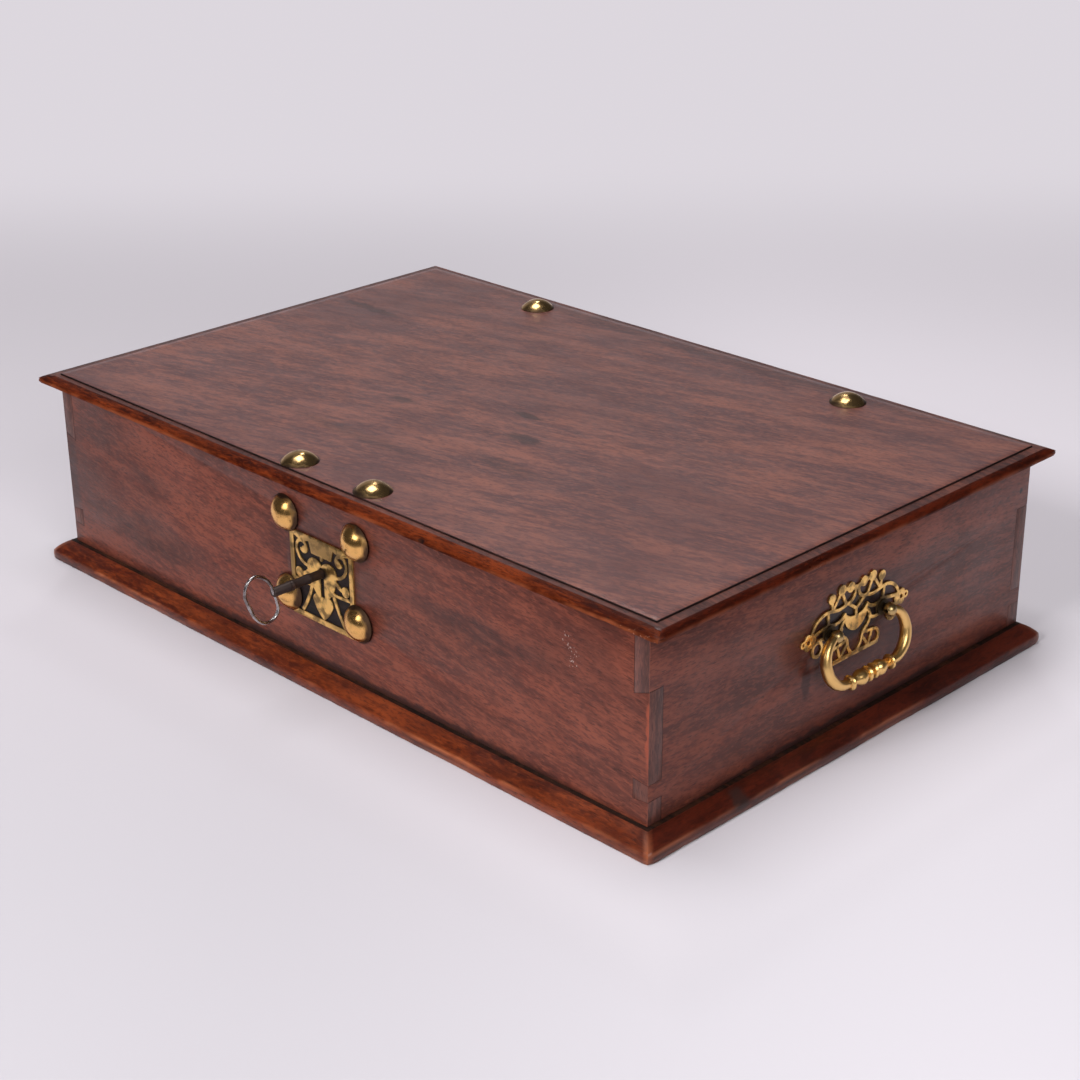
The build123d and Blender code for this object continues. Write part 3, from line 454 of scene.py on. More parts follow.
front_marks = [
    # Painted shade with dirt along the foot of the board, where it meets the base.
    (*on_front(0, ledge_z / mm, 260, 5), 0.8, dirt_and_shade),
    (*on_front(3, 72, 52, 46), 0.3, dirt_and_shade),
    # Painted shade with dirt: near-black wood under the lock plate, seen through its piercings.
    (*on_front(3, 62, 34, 33), 0.95, (0.009, 0.004, 0.004)),
    (*on_front(corner_x / mm, 60, 2.8, 25), 0.75, (0.300, 0.062, 0.030)),
    (*on_front(-239, 60, 10, 70), 0.5, dirt_and_shade),
    (*on_front(-150, 40, 60, 16), 0.25, dirt_and_shade),
    (*on_front(-195, 66, 75, 60), 0.2, dirt_and_shade),
    (*on_front(120, 75, 70, 10), 0.3, dirt_and_shade),
]
# Painted shadow with grime: a dark ring round each lock-plate stud, moved down and to the right as its shadow
# falls.
for x, z in node_centres("escutcheon_studs", (0, 2)):
    stud_shadow_centre = (x + stud_shadow_drift, face_y, z - stud_shadow_drift)
    front_marks.append((stud_shadow_centre, (stud_shadow_reach, mark_depth, stud_shadow_reach), 0.8, (0.010, 0.006, 0.006)))
scuffs = [
    (*on_front(187, 93, 5, 5), scuff),
    (*on_front(191, 85, 5, 7), scuff),
    (*on_front(-120, 70, 3, 3), scuff),
]
carcass_board("front_board", "X", "front_wood", 31.0, (0, radians(-8), 0), front_marks, scuffs)
# Painted shade with dirt along the foot of the back board, where it meets the base.
back_marks = [((0, -face_y, ledge_z), (260 * mm, mark_depth, 5 * mm), 0.8, dirt_and_shade)]
carcass_board("back_board", "X", "back_wood", 47.0, (0, radians(8), 0), back_marks)
nail_hole = (4 * mm, 1.6 * mm, 1.6 * mm)
for side_name, way in (("right", 1), ("left", -1)):
    end_marks = [
        # Painted shade with dirt along the foot of the end board, where it meets the base.
        (*on_end(way, 0, ledge_z / mm, 170, 5), 0.8, dirt_and_shade),
        (*on_end(way, 0, 66, 60, 34), 0.3, dirt_and_shade),
        # Painted shade with dirt: near-black wood behind the middle of the handle plate, seen through its
        # piercings and round the posts.
        (*on_end(way, 0.6, 71, 44, 19), 0.95, (0.006, 0.003, 0.004)),
        (*on_end(way, 60, 80, 70, 14), 0.25, dirt_and_shade),
        # Painted reflection: the dark mirror image of the bail's near arm in the varnish, below and beside
        # it.
        (*on_end(way, -37, 45, 5, 13), 0.7, (0.022, 0.004, 0.003)),
        ((way * end_x, 147.5 * mm, 95 * mm), nail_hole, 0.95, (0.008, 0.006, 0.006)),
    ]
    seed = 60.0 + 9 * way
    carcass_board(side_name + "_side_board", "Y", side_name + "_wood", seed, (radians(5), 0, 0), end_marks)


# ------------------------------------------------------------------ lid
# One thin mahogany board, warped a little with age, so that its front stands just off the case.
# The field stands a little above a narrow shoulder, and a glossy bevel is planed below that.

lid_low, lid_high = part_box("lid_board")
lid_moulding = 10.9 * mm
lid_upright = 1.1 * mm
lid_step = 0.9 * mm
lid_roundness = 0.6
side_shoulder = 3.8 * mm
end_shoulder = 6.2 * mm
shoulder_fall = 0.15 * mm
shoulder_ease = 0.6 * mm
dark_step_foot = 0.68 * mm
lid_half = [(high - low) / 2 - lid_moulding for low, high in zip(lid_low[:2], lid_high[:2])]
lid_centre = (0, (lid_low.y + lid_high.y) / 2)
step_foot = lid_high.z - lid_step
lid_profiles = []
for shoulder in (side_shoulder, end_shoulder):
    edge = [(0, lid_high.z), (0.3 * mm, lid_high.z - 0.15 * mm)]
    edge += [(0.4 * mm, step_foot), (dark_step_foot, step_foot)]
    edge.append((shoulder - shoulder_ease, step_foot - shoulder_fall))
    edge += planed_edge(lid_moulding, lid_low.z + lid_upright, step_foot - 0.2 * mm, shoulder, lid_roundness)
    edge.append((lid_moulding - 0.1 * mm, lid_low.z + 0.1 * mm))
    edge.append((lid_moulding - 0.6 * mm, lid_low.z))
    lid_profiles.append(edge)
lid_board = moulded_board("lid_board_wood", lid_centre, lid_half, *lid_profiles)


def on_lid(x, y, long, wide):
    """Centre and reach of a mark on the lid's field, given in millimetres."""
    return (x * mm, y * mm, lid_high.z), (long * mm, wide * mm, 9 * mm)


field_wood = ((0.092, 0.037, 0.036), (0.128, 0.050, 0.046), (0.240, 0.086, 0.060))
front_bevel_wood = ((0.020, 0.0035, 0.0018), (0.066, 0.0085, 0.0028), (0.17, 0.029, 0.007))
# Painted shade: the bevels across the ends of the lid are coloured darker than the front and back bevels.
shaded_end_bevel_wood = ((0.020, 0.0035, 0.0018), (0.050, 0.0058, 0.0020), (0.085, 0.012, 0.004))
step_dirt_and_shade = ((0.006, 0.003, 0.003), (0.012, 0.006, 0.005), (0.03, 0.012, 0.01))
shoulder_wood = ((0.040, 0.013, 0.011), (0.086, 0.028, 0.022), (0.145, 0.046, 0.031))
lid_stains = [
    (*on_lid(12, -8, 14, 4), 0.7, dirt_and_shade),
    (*on_lid(-205, 60, 34, 5), 0.55, dirt_and_shade),
    (*on_lid(-60, -40, 12, 5), 0.5, dirt_and_shade),
    (*on_lid(35, -35, 16, 7), 0.6, dirt_and_shade),
    (*on_lid(60, -70, 30, 8), 0.3, dirt_and_shade),
    (*on_lid(-40, -95, 60, 8), 0.3, dirt_and_shade),
    (*on_lid(0, lid_high.y / mm - 18, 240, 8), 0.3, dirt_and_shade),
]
notch_size = (2.6 * mm, 4 * mm, 2.4 * mm)
notch_dark = (0.006, 0.004, 0.004)
lid_notches = [((x * mm, lid_low.y, 117.5 * mm), notch_size, 0.95, notch_dark) for x in (92.4, 220.4)]
lid_chips = [((238 * mm, lid_low.y, lid_low.z + 1.1 * mm), (18 * mm, 4 * mm, 2.6 * mm), (0.55, 0.28, 0.20))]
mahogany(lid_board, "lid_wood", "X", *field_wood, 0.44, 3.0, contrast=1.1, slant=(0, 0, radians(-15)),
         marks=lid_stains, drawn_out=1.6, speckle=1.1)
mahogany(lid_board, "lid_moulding_wood", "X", *front_bevel_wood, 0.34, 5.0, gloss=0.0, contrast=1.2,
         rubbed=(0.20, 0.050, 0.020), marks=lid_notches, pale_marks=lid_chips, shine=0.04, speckle=0.7)
# Painted shade with dirt: the small step down from the field is near black.
mahogany(lid_board, "dirty_shaded_step_wood", "X", *step_dirt_and_shade, 0.6, 5.0)
mahogany(lid_board, "shoulder_wood", "X", *shoulder_wood, 0.46, 8.0, gloss=0.3)
mahogany(lid_board, "shaded_lid_end_moulding_wood", "Y", *shaded_end_bevel_wood, 0.34, 6.0, gloss=0.0, contrast=1.2,
         rubbed=(0.15, 0.040, 0.020), drawn_out=2.0, shine=0.08)
for face in lid_board.data.polygons:
    past_end, past_side = past_field(face.center, lid_centre, lid_half)
    at_end = past_end > past_side
    past_edge = max(past_end, past_side)
    if face.normal.z < -0.9 or past_edge < 0:
        face.material_index = 0
    elif past_edge < dark_step_foot:
        face.material_index = 2
    elif past_edge < (end_shoulder if at_end else side_shoulder) - 0.3 * mm:
        face.material_index = 3
    else:
        face.material_index = 4 if at_end else 1
lid_dents = [
    ((92 * mm, lid_low.y, 117 * mm), 3.2 * mm, 1.0 * mm),
    ((220 * mm, lid_low.y, 117 * mm), 3 * mm, 0.9 * mm),
]
lid_arrises = [(lid_moulding, lid_low.z), (lid_moulding, lid_low.z + lid_upright)]
rub_edges(lid_board, lid_centre, lid_half, lid_moulding, lid_arrises, 0.4 * mm, lid_dents)

lid_lift = 0.9 * mm
lid_skew = 0.003
seat_height = 0.05 * mm
bend_reach = 6 * mm


def lid_rise(point):
    """How far the warped lid stands above a flat one: most along the front, none at the hinges."""
    return lid_lift * min(1, max(0, (lid_high.y - point.y) / (lid_high.y - lid_low.y)))


for vertex in lid_board.data.vertices:
    point = vertex.co
    beyond_case = max(abs(point.x) - end_x, abs(point.y) + face_y, 0)
    share = 1 if point.z > lid_low.z + seat_height else min(1, beyond_case / bend_reach)
    point.z += share * lid_rise(point)
    point.x, point.y = point.x - lid_skew * point.y, point.y + lid_skew * point.x
bpy.context.view_layer.objects.active = lid_board
bpy.ops.object.shade_smooth_by_angle(angle=radians(50))
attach(lid_board, "lid")
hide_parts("lid_board")


# ------------------------------------------------------------------ domed studs
# Hollow brass domes with a shank cast inside: four round the lock plate, two over it on the lid
# and one over each hinge. They are rubbed bright on the crown; the rim is dark with old wax and painted
# shade.

stud_radius = 10.7 * mm
stud_height = 6.6 * mm
lid_stud_height = 5.7 * mm
stud_wall = 1.3 * mm
shank_radius = 1.8 * mm
rivet_radius = 2.4 * mm
rivet_head = 0.8 * mm


def turned(name, profile, sides=40):
    """Turned piece about Z: a circle extruded and scaled along its profile from pole to pole."""
    bpy.ops.object.select_all(action="DESELECT")
    radius, height = profile[1]
    bpy.ops.mesh.primitive_circle_add(vertices=sides, radius=radius, location=(0, 0, 0))
    piece = bpy.context.object
    piece.name = name
    bpy.ops.object.mode_set(mode="EDIT")
    bpy.ops.transform.translate(value=(0, 0, height))
    bpy.ops.mesh.extrude_edges_move(TRANSFORM_OT_translate={"value": (0, 0, profile[0][1] - height)})
    bpy.ops.mesh.merge(type="CENTER")
    bpy.ops.mesh.select_all(action="DESELECT")
    bpy.ops.object.mode_set(mode="OBJECT")
    pole = Vector((0, 0, profile[0][1]))
    for vertex in piece.data.vertices:
        vertex.select = (vertex.co - pole).length > radius * 0.5
    bpy.ops.object.mode_set(mode="EDIT")
    bpy.ops.mesh.select_mode(type="VERT")
    for wide, level in profile[2:-1]:
        bpy.ops.mesh.extrude_edges_move(TRANSFORM_OT_translate={"value": (0, 0, level - height)})
        bpy.ops.transform.resize(value=(wide / radius, wide / radius, 1), center_override=(0, 0, level))
        radius, height = wide, level
    bpy.ops.mesh.extrude_edges_move(TRANSFORM_OT_translate={"value": (0, 0, profile[-1][1] - height)})
    bpy.ops.mesh.merge(type="CENTER")
    face_outwards()
    bpy.ops.object.shade_smooth_by_angle(angle=radians(35))
    return piece


def even_noise(tree, scale, detail):
    """Noise that runs the same every way, as the clouds on metal do."""
    place = put(tree, "TexCoord").outputs["Object"]
    return put(tree, "TexNoise", {"Vector": place, "Scale": scale, "Detail": detail}).outputs["Fac"]


brass_relief = 0.4 * mm


def brass(name, bright, dark, shine, seed, rubbed=False, clean_from=None, clean_to=None, both_ends=False,
          marks=(), mottling=(0.5, 0.78), dents=0.06):
    """Old polished brass, mottled with tarnish, brown where the rubbing cloth doesn't reach, and darkened at
    marks; at the studs' rims and some marks this is painted shade.
    """
    material, tree, shader = fresh_material(name)
    shader.inputs["Metallic"].default_value = 1.0
    mottle = even_noise(tree, 190.0 + seed, 5.0)
    smear = even_noise(tree, 620.0 + seed, 3.0)
    share = stretch_range(tree, mottle, *mottling, 0.0, 0.75)
    clean = None
    if rubbed:
        clean = put(tree, "Attribute", attribute_name="rubbed").outputs["Fac"]
    elif clean_to is not None:
        place = put(tree, "TexCoord").outputs["Object"]
        across = put(tree, "SeparateXYZ", {0: place}).outputs["X"]
        if both_ends:
            across = reckon(tree, "ABSOLUTE", across)
        clean = stretch_range(tree, across, clean_from, clean_to)
    if clean is not None:
        share = reckon(tree, "MAXIMUM", share, reckon(tree, "SUBTRACT", 1.0, clean))
    for centre, size, strength in marks:
        mark = reckon(tree, "MULTIPLY", spot_mask(tree, centre, size), strength)
        share = reckon(tree, "MAXIMUM", share, mark)
    colour = blend_colour(tree, share, bright, dark)
    tree.links.new(colour, shader.inputs["Base Color"])
    rough = reckon(tree, "MULTIPLY_ADD", share, 0.3, shine)
    rough = reckon(tree, "MULTIPLY_ADD", smear, 0.06, rough)
    tree.links.new(rough, shader.inputs["Roughness"])
    raise_relief(tree, shader, mottle, dents, brass_relief)
    return material


stud_brass = brass("stud_brass", (0.98, 0.55, 0.18), (0.11, 0.062, 0.038), 0.18, 1, rubbed=True,
                   mottling=(0.50, 0.82), dents=0.02)
lid_stud_brass = brass("lid_stud_brass", (0.60, 0.38, 0.16), (0.10, 0.06, 0.035), 0.17, 4, rubbed=True,
                       dents=0.03)
dome_steps = 14
dent_waves = 170
dent_share = 0.018
lid_plate_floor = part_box("hinge_lid_leaf_left")[0].z
lock_plate_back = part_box("lock_plate")[1].y


def dome_arc(radius, last, centre):
    """Points of a dome from its crown to a level, as radius and height above the stud's foot."""
    half_angle = asin(min(1, last / radius))
    turns = [half_angle * step / dome_steps for step in range(dome_steps + 1)]
    return [(radius * sin(turn), centre + radius * cos(turn)) for turn in turns]


def domed_stud(name, depth, seed, metal, crown):
    """Hollow dome, shank and riveted end, a little dented, standing on its plane."""
    ball = (stud_radius ** 2 + crown ** 2) / (2 * crown)
    outside = dome_arc(ball, stud_radius, crown - ball)
    inside = dome_arc(ball - stud_wall, stud_radius - 1.1 * stud_wall, crown - ball)
    profile = outside[:-1] + [(stud_radius, 0.25 * mm), (stud_radius, 0)]
    profile += [(wide, max(0, level)) for wide, level in reversed(inside) if wide > shank_radius]
    profile += [(shank_radius, crown - 2 * stud_wall), (shank_radius, -depth)]
    profile += [(rivet_radius, -depth), (rivet_radius * 0.9, -depth - 0.6 * rivet_head)]
    profile.append((0, -depth - rivet_head))
    piece = turned(name, profile)
    bright = piece.data.attributes.new("rubbed", "FLOAT", "POINT")
    for vertex in piece.data.vertices:
        point = vertex.co
        away = sqrt(point.x ** 2 + point.y ** 2) / stud_radius
        dent = noise.noise(point * dent_waves + Vector((seed, 0, 0)))
        # Bright on the crown, dark towards the rim: old wax with painted shade at the foot of the dome.
        bright.data[vertex.index].value = min(1, max(0, (0.96 - away) * 8 + 2 * dent)) if point.z > 0 else 0
        if point.z > 0.3 * mm:
            vertex.co = point * (1 + dent_share * dent)
    piece.data.materials.append(metal)
    return piece


def set_in_place(piece, matrix):
    """Puts the place of a piece into its mesh."""
    piece.data.transform(matrix)
    if matrix.determinant() < 0:
        piece.data.flip_normals()


escutcheon_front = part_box("escutcheon_plate")[0].y
lock_stud_depth = lock_plate_back - escutcheon_front
facing_front = Matrix.Rotation(radians(90), 4, "X")
for count, (x, z) in enumerate(node_centres("escutcheon_studs", (0, 2))):
    stud = domed_stud(f"escutcheon_stud_{count + 1}", lock_stud_depth, 3.0 * count, stud_brass, stud_height)
    set_in_place(stud, Matrix.Translation((x, escutcheon_front, z)) @ facing_front)
    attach(stud, "case")
    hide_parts("escutcheon_studs")

for node in ("lid_lock_studs", "lid_hinge_studs"):
    for count, (x, y) in enumerate(node_centres(node, (0, 1))):
        foot = Vector((x, y, lid_high.z))
        foot.z += lid_rise(foot)
        seed = 20 + 3.0 * count + y
        stud = domed_stud(
            f"{node[:-1]}_{count + 1}", foot.z - lid_plate_floor, seed, lid_stud_brass, lid_stud_height)
        set_in_place(stud, Matrix.Translation(foot))
        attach(stud, "lid")
        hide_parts(node)


# ------------------------------------------------------------------ escutcheon
# Square plate of thin cast brass, pierced with scrolls, a heart and a shield round the keyhole.
# A near-black sheet behind it paints the shade in the deep piercings, with the wax of many polishings; the
# studs at the corners hold the plate.

escutcheon_low, escutcheon_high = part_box("escutcheon_plate")
handle_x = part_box("handle_plate_right")[1].x
tarnish_and_shade = [
    ((3 * mm, escutcheon_front, 82 * mm), (22 * mm, 9 * mm, 6 * mm), 0.6),
    ((-22 * mm, escutcheon_front, 62 * mm), (5 * mm, 9 * mm, 25 * mm), 0.5),
    ((20 * mm, escutcheon_front, 42 * mm), (18 * mm, 9 * mm, 6 * mm), 0.5),
    # Painted shade: the keyhole's hollow round the key's shank, darkened on the plate.
    ((4.6 * mm, escutcheon_front, 68.3 * mm), (5.2 * mm, 9 * mm, 4.2 * mm), 0.97),
]
post_shade_and_tarnish = (9 * mm, 9 * mm, 9 * mm)
post_shade_rise = 1 * mm
# Painted shade with tarnish: the handle plates are darkened round each post.
for way in (-1, 1):
    for y, z in node_centres("handle_posts_right", (1, 2)):
        tarnish_and_shade.append(((way * handle_x, y, z + post_shade_rise), post_shade_and_tarnish, 0.95))
plate_brass = brass("plate_brass", (0.97, 0.60, 0.19), (0.15, 0.10, 0.055), 0.27, 5, marks=tarnish_and_shade,
                    mottling=(0.41, 0.63))
plate_softness = 0.18 * mm
escutcheon = softened_copy("escutcheon_plate", "escutcheon_brass", plate_softness, corner=50)
escutcheon.data.materials.append(plate_brass)
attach(escutcheon, "case")
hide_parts("escutcheon_plate")


def block(name, size, middle):
    """A block of a size round its middle."""
    bpy.ops.object.select_all(action="DESELECT")
    bpy.ops.mesh.primitive_cube_add(size=1)
    piece = bpy.context.object
    piece.name = name
    piece.data.transform(Matrix.Translation(middle) @ Matrix.Diagonal((*size, 1)))
    return piece


# Painted shade with old wax: a near-black sheet just behind the plate darkens its piercings.
dark_sheet_depth = 0.25 * mm
dark_sheet_margin = 3 * mm
wax_and_shade_black = ((0.004, 0.003, 0.003), (0.008, 0.005, 0.005), (0.020, 0.010, 0.009))
plate_size = escutcheon_high - escutcheon_low
plate_middle = (escutcheon_low + escutcheon_high) / 2
dark_sheet_size = (plate_size.x - dark_sheet_margin, dark_sheet_depth, plate_size.z - dark_sheet_margin)
dark_sheet_middle = (plate_middle.x, escutcheon_high.y - dark_sheet_depth / 2, plate_middle.z)
wax_and_shade_sheet = block("escutcheon_wax_and_shade", dark_sheet_size, dark_sheet_middle)
mahogany(wax_and_shade_sheet, "wax_and_shade_sheet", "X", *wax_and_shade_black, 0.6, 5.0, gloss=0.0, shine=0.25)
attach(wax_and_shade_sheet, "case")
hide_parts("escutcheon_plate")


# ------------------------------------------------------------------ lock
# Iron box lock riveted behind the front board: plate, folded cover, sliding bolt on two guide
# studs and a leaf spring, with the staple plate that meets it under the lid. The plates are
# black from the forge; the bolt, the studs and the spring are filed bright.

iron_relief = 0.3 * mm


def iron(name, colour, rust, roughness, seed, metallic=0.85):
    """Forged iron, dark with a little brown rust in clouds."""
    material, tree, shader = fresh_material(name)
    shader.inputs["Metallic"].default_value = metallic
    cloud = even_noise(tree, 120.0 + seed, 6.0)
    grit = even_noise(tree, 900.0 + seed, 4.0)
    share = stretch_range(tree, cloud, 0.45, 0.72)
    tree.links.new(blend_colour(tree, share, colour, rust), shader.inputs["Base Color"])
    rough = reckon(tree, "MULTIPLY_ADD", grit, 0.25, roughness - 0.1)
    tree.links.new(rough, shader.inputs["Roughness"])
    raise_relief(tree, shader, grit, 0.25, iron_relief)
    return material


forged = iron("forged_iron", (0.12, 0.105, 0.10), (0.10, 0.045, 0.025), 0.48, 2)
filed = iron("filed_steel", (0.34, 0.33, 0.31), (0.16, 0.10, 0.07), 0.34, 9, metallic=1.0)
lock_pieces = {
    "lock_plate": (0.25 * mm, "case", "lock_iron", forged),
    "lock_cover": (0.4 * mm, "case", "lock_iron", forged),
    "lock_cover_rivets": (0.3 * mm, "case", "lock_iron", forged),
    "lock_stumps": (0, "case", "lock_iron", filed),
    "lock_spring": (0.1 * mm, "case", "spring_steel", filed),
    "lock_bolt": (0.25 * mm, "lock_bolt", "bolt_steel", filed),
    "staple_plate": (0.25 * mm, "lid", "lock_iron", forged),
}
for node, (softness, body, slot, metal) in lock_pieces.items():
    piece = softened_copy(node, node + "_metal", softness)
    piece.data.materials.append(metal)
    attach(piece, body)
    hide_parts(node)


# ------------------------------------------------------------------ key
# Iron key with a round shank, turned with faint collars and brown with age, a flat bit and a bow
# that is only a loop of thin wire, bent to a kidney and rubbed grey by the hand.

key_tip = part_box("key")[1].y
key_x = 3 * mm
key_z = 68 * mm
key_shank = 2.7 * mm
key_pilot = 1.6 * mm
key_shoulder = key_tip - 2.2 * mm
shank_start = escutcheon_front - 33.2 * mm
shank_length = key_shoulder - shank_start
pilot_end = key_tip - shank_start
shank_profile = [(0, 0), (key_shank * 0.86, 0), (key_shank * 0.98, 0.5 * mm)]
for collar in (11 * mm, 13 * mm, 24 * mm):
    shank_profile += [(key_shank * 0.97, collar - 1.0 * mm), (key_shank * 1.06, collar - 0.6 * mm),
                      (key_shank * 1.06, collar), (key_shank * 0.94, collar + 0.4 * mm)]
shank_profile += [(key_shank, shank_length - 0.2 * mm), (key_shank * 0.95, shank_length),
                  (key_pilot, shank_length), (key_pilot, pilot_end - 0.3 * mm),
                  (key_pilot * 0.8, pilot_end), (0, pilot_end)]
shank = turned("key_shank", shank_profile, sides=32)
facing_back = Matrix.Rotation(radians(-90), 4, "X")
set_in_place(shank, Matrix.Translation((key_x, shank_start, key_z)) @ facing_back)

bit_reach = 13.8 * mm
bit_wide = 5.6 * mm
bit_thick = 2.4 * mm
bolt_low, bolt_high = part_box("lock_bolt")
bit_middle = (key_x, (bolt_low.y + bolt_high.y) / 2, key_z - bit_reach / 2)
bit = block("key_bit", (bit_thick, bit_wide, bit_reach), bit_middle)
bpy.ops.object.mode_set(mode="EDIT")
bpy.ops.mesh.select_all(action="SELECT")
bpy.ops.mesh.bevel(offset=0.25 * mm, segments=2)
bpy.ops.object.mode_set(mode="OBJECT")


def swept(name, spots, radii, steps_round, cyclic=False):
    """Round wire through a list of points, as thick at each of them as the radii say."""
    line = bpy.data.curves.new(name, "CURVE")
    line.dimensions = "3D"
    line.bevel_depth = 1.0
    line.bevel_resolution = steps_round
    line.use_fill_caps = True
    spline = line.splines.new("BEZIER")
    spline.bezier_points.add(len(spots) - 1)
    for point, spot, radius in zip(spline.bezier_points, spots, radii):
        point.co = spot
        point.radius = radius
        point.handle_left_type = point.handle_right_type = "AUTO"
    spline.use_cyclic_u = cyclic
    spline.resolution_u = 8
    wire = bpy.data.objects.new(name, line)
    bpy.context.scene.collection.objects.link(wire)
    bpy.ops.object.select_all(action="DESELECT")
    wire.select_set(True)
    bpy.context.view_layer.objects.active = wire
    bpy.ops.object.convert(target="MESH")
    piece = bpy.context.object
    bpy.ops.object.mode_set(mode="EDIT")
    bpy.ops.mesh.select_all(action="SELECT")
    bpy.ops.mesh.remove_doubles(threshold=weld)
    face_outwards()
    bpy.ops.object.shade_smooth_by_angle(angle=radians(45))
    return piece


bow_outline = [(0.6, -0.4), (-1.4, 5.4), (-6.0, 10.6), (-13.4, 12.4), (-18.0, 6.0), (-15.4, -3.8),
               (-11.4, -12.0), (-4.2, -16.0), (2.4, -12.4), (2.0, -5.4)]
bow_wire = 0.95 * mm
bow_waver = 0.3 * mm
bow_spots = [(key_x + bow_waver * sin(2.3 * turn), shank_start + y * mm, key_z + z * mm)
             for turn, (y, z) in enumerate(bow_outline)]
bow_radii = [bow_wire * (1 + 0.12 * sin(4.1 * turn)) for turn in range(len(bow_spots))]
bow = swept("key_bow", bow_spots, bow_radii, steps_round=4, cyclic=True)
key_iron = iron("key_iron", (0.038, 0.024, 0.021), (0.060, 0.030, 0.020), 0.46, 4, metallic=0.6)
bow_iron = iron("bow_iron", (0.44, 0.41, 0.41), (0.15, 0.12, 0.11), 0.25, 6, metallic=1.0)
for piece, metal in ((shank, key_iron), (bit, key_iron), (bow, bow_iron)):
    piece.data.materials.append(metal)
    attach(piece, "key")
    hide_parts("key")


# ------------------------------------------------------------------ hinges and nails
# Two iron strap hinges behind: a leaf nailed to the back board, a leaf nailed and studded under
# the lid, rolled knuckles and a pin. The nails that hold the base are of the same dark iron.

hinge_pieces = []
for side_name in ("left", "right"):
    hinge_pieces.append((f"hinge_case_leaf_{side_name}", "case", "hinge_iron"))
    hinge_pieces.append((f"hinge_lid_leaf_{side_name}", "lid", "hinge_iron"))
for side_name in ("left", "right"):
    hinge_pieces.append((f"hinge_pin_{side_name}", "case", "hinge_iron"))
hinge_pieces.append(("hinge_case_nails", "case", "nail_iron"))
hinge_pieces.append(("hinge_lid_nails", "lid", "nail_iron"))
hinge_pieces.append(("base_nails", "case", "nail_iron"))
for node, body, slot in hinge_pieces:
    piece = softened_copy(node, node + "_iron", 0.12 * mm, corner=50)
    piece.data.materials.append(forged)
    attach(piece, body)
    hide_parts(node)


# ------------------------------------------------------------------ side handles
# A pierced brass plate, two ball-headed posts held through the end board by nuts inside, and a
# cast bail that hangs from pins in the posts: round arms and a grip turned with rings and urns.

post_dark = (0.070, 0.048, 0.026)
post_brass = brass("post_brass", (0.52, 0.36, 0.16), post_dark, 0.3, 3, clean_from=243.2 * mm,
                   clean_to=246.0 * mm, both_ends=True)
nut_brass = brass("nut_brass", (0.40, 0.28, 0.13), post_dark, 0.4, 8, clean_from=0.0, clean_to=100 * mm)
bail_brass = brass("bail_brass", (0.86, 0.54, 0.20), (0.30, 0.18, 0.08), 0.28, 2, mottling=(0.6, 0.85),
                   dents=0.012)
pivot = (246 * mm, 0.6 * mm, 67.5 * mm)
bail_tilt = radians(12)
grip_drop = 26.7 * mm

grip_profile = [
    (0, 2.0), (0.9, 2.2), (1.3, 3.6), (2.3, 4.3), (3.3, 3.6), (3.7, 2.5), (4.2, 2.4), (5.2, 3.4), (6.8, 4.3),
    (8.6, 4.25), (10.6, 3.4), (12.4, 2.5), (14.2, 2.2), (15.2, 2.3), (15.6, 3.7), (16.5, 4.2), (17.4, 3.7),
    (17.9, 2.7), (19.0, 2.7)]
arm_line = [
    (17.8, -26.8), (24.0, -25.6), (29.8, -21.4), (32.7, -15.4), (32.6, -9.6), (30.6, -5.0), (27.6, -2.0),
    (24.2, -0.2)]
arm_radii = [2.5, 2.9, 3.2, 3.2, 3.0, 2.8, 2.6, 2.2]


def grip(name):
    """The turned middle of a bail: a pair of rings, an urn on each side of it and end rings."""
    half = [(radius * mm, along * mm) for along, radius in grip_profile]
    profile = [(0, -half[-1][1])] + [(radius, -along) for radius, along in reversed(half)]
    profile += half[1:] + [(0, half[-1][1])]
    return turned(name, profile, sides=28)


def arm(name, way):
    """One arm of a bail, from the end of the grip round the corner and up to its post."""
    spots = [(0, way * y * mm, z * mm) for y, z in arm_line]
    return swept(name, spots, [radius * mm for radius in arm_radii], steps_round=8)


handle_parts = (
    ("plate", plate_softness, plate_brass, "plate_brass"),
    ("posts", 0, post_brass, "post_brass"),
    ("nuts", 0.3 * mm, nut_brass, "nut_brass"),
)
for side_name, way in (("right", 1), ("left", -1)):
    for part, softness, metal, slot in handle_parts:
        node = f"handle_{part}_{side_name}"
        piece = softened_copy(node, node + "_brass", softness, corner=50)
        piece.data.materials.append(metal)
        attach(piece, "case")
        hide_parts(node)
    near_arm = arm(f"bail_arm_{side_name}_near", -1)
    far_arm = arm(f"bail_arm_{side_name}_far", 1)
    middle = grip(f"bail_grip_{side_name}")
    set_in_place(middle, Matrix.Translation((0, 0, -grip_drop)) @ Matrix.Rotation(radians(90), 4, "X"))
    hang = Matrix.Translation(pivot) @ Matrix.Rotation(-bail_tilt, 4, "Y")
    for piece in (near_arm, far_arm, middle):
        set_in_place(piece, Matrix.Scale(way, 4, (1, 0, 0)) @ hang)
        piece.data.materials.append(bail_brass)
        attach(piece, f"bail_{side_name}")
        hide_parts(f"bail_{side_name}")


# ------------------------------------------------------------------ floor, light and camera
# The box stands on pale paper, painted with some light and shade, that runs out of sight behind it,
# under soft lamps in front, at the right, behind and above.


def along_way(tree, place, way):
    """How far a place lies along a direction from the middle of the scene."""
    return put(tree, "VectorMath", {0: place, 1: tuple(way)}, operation="DOT_PRODUCT").outputs["Value"]


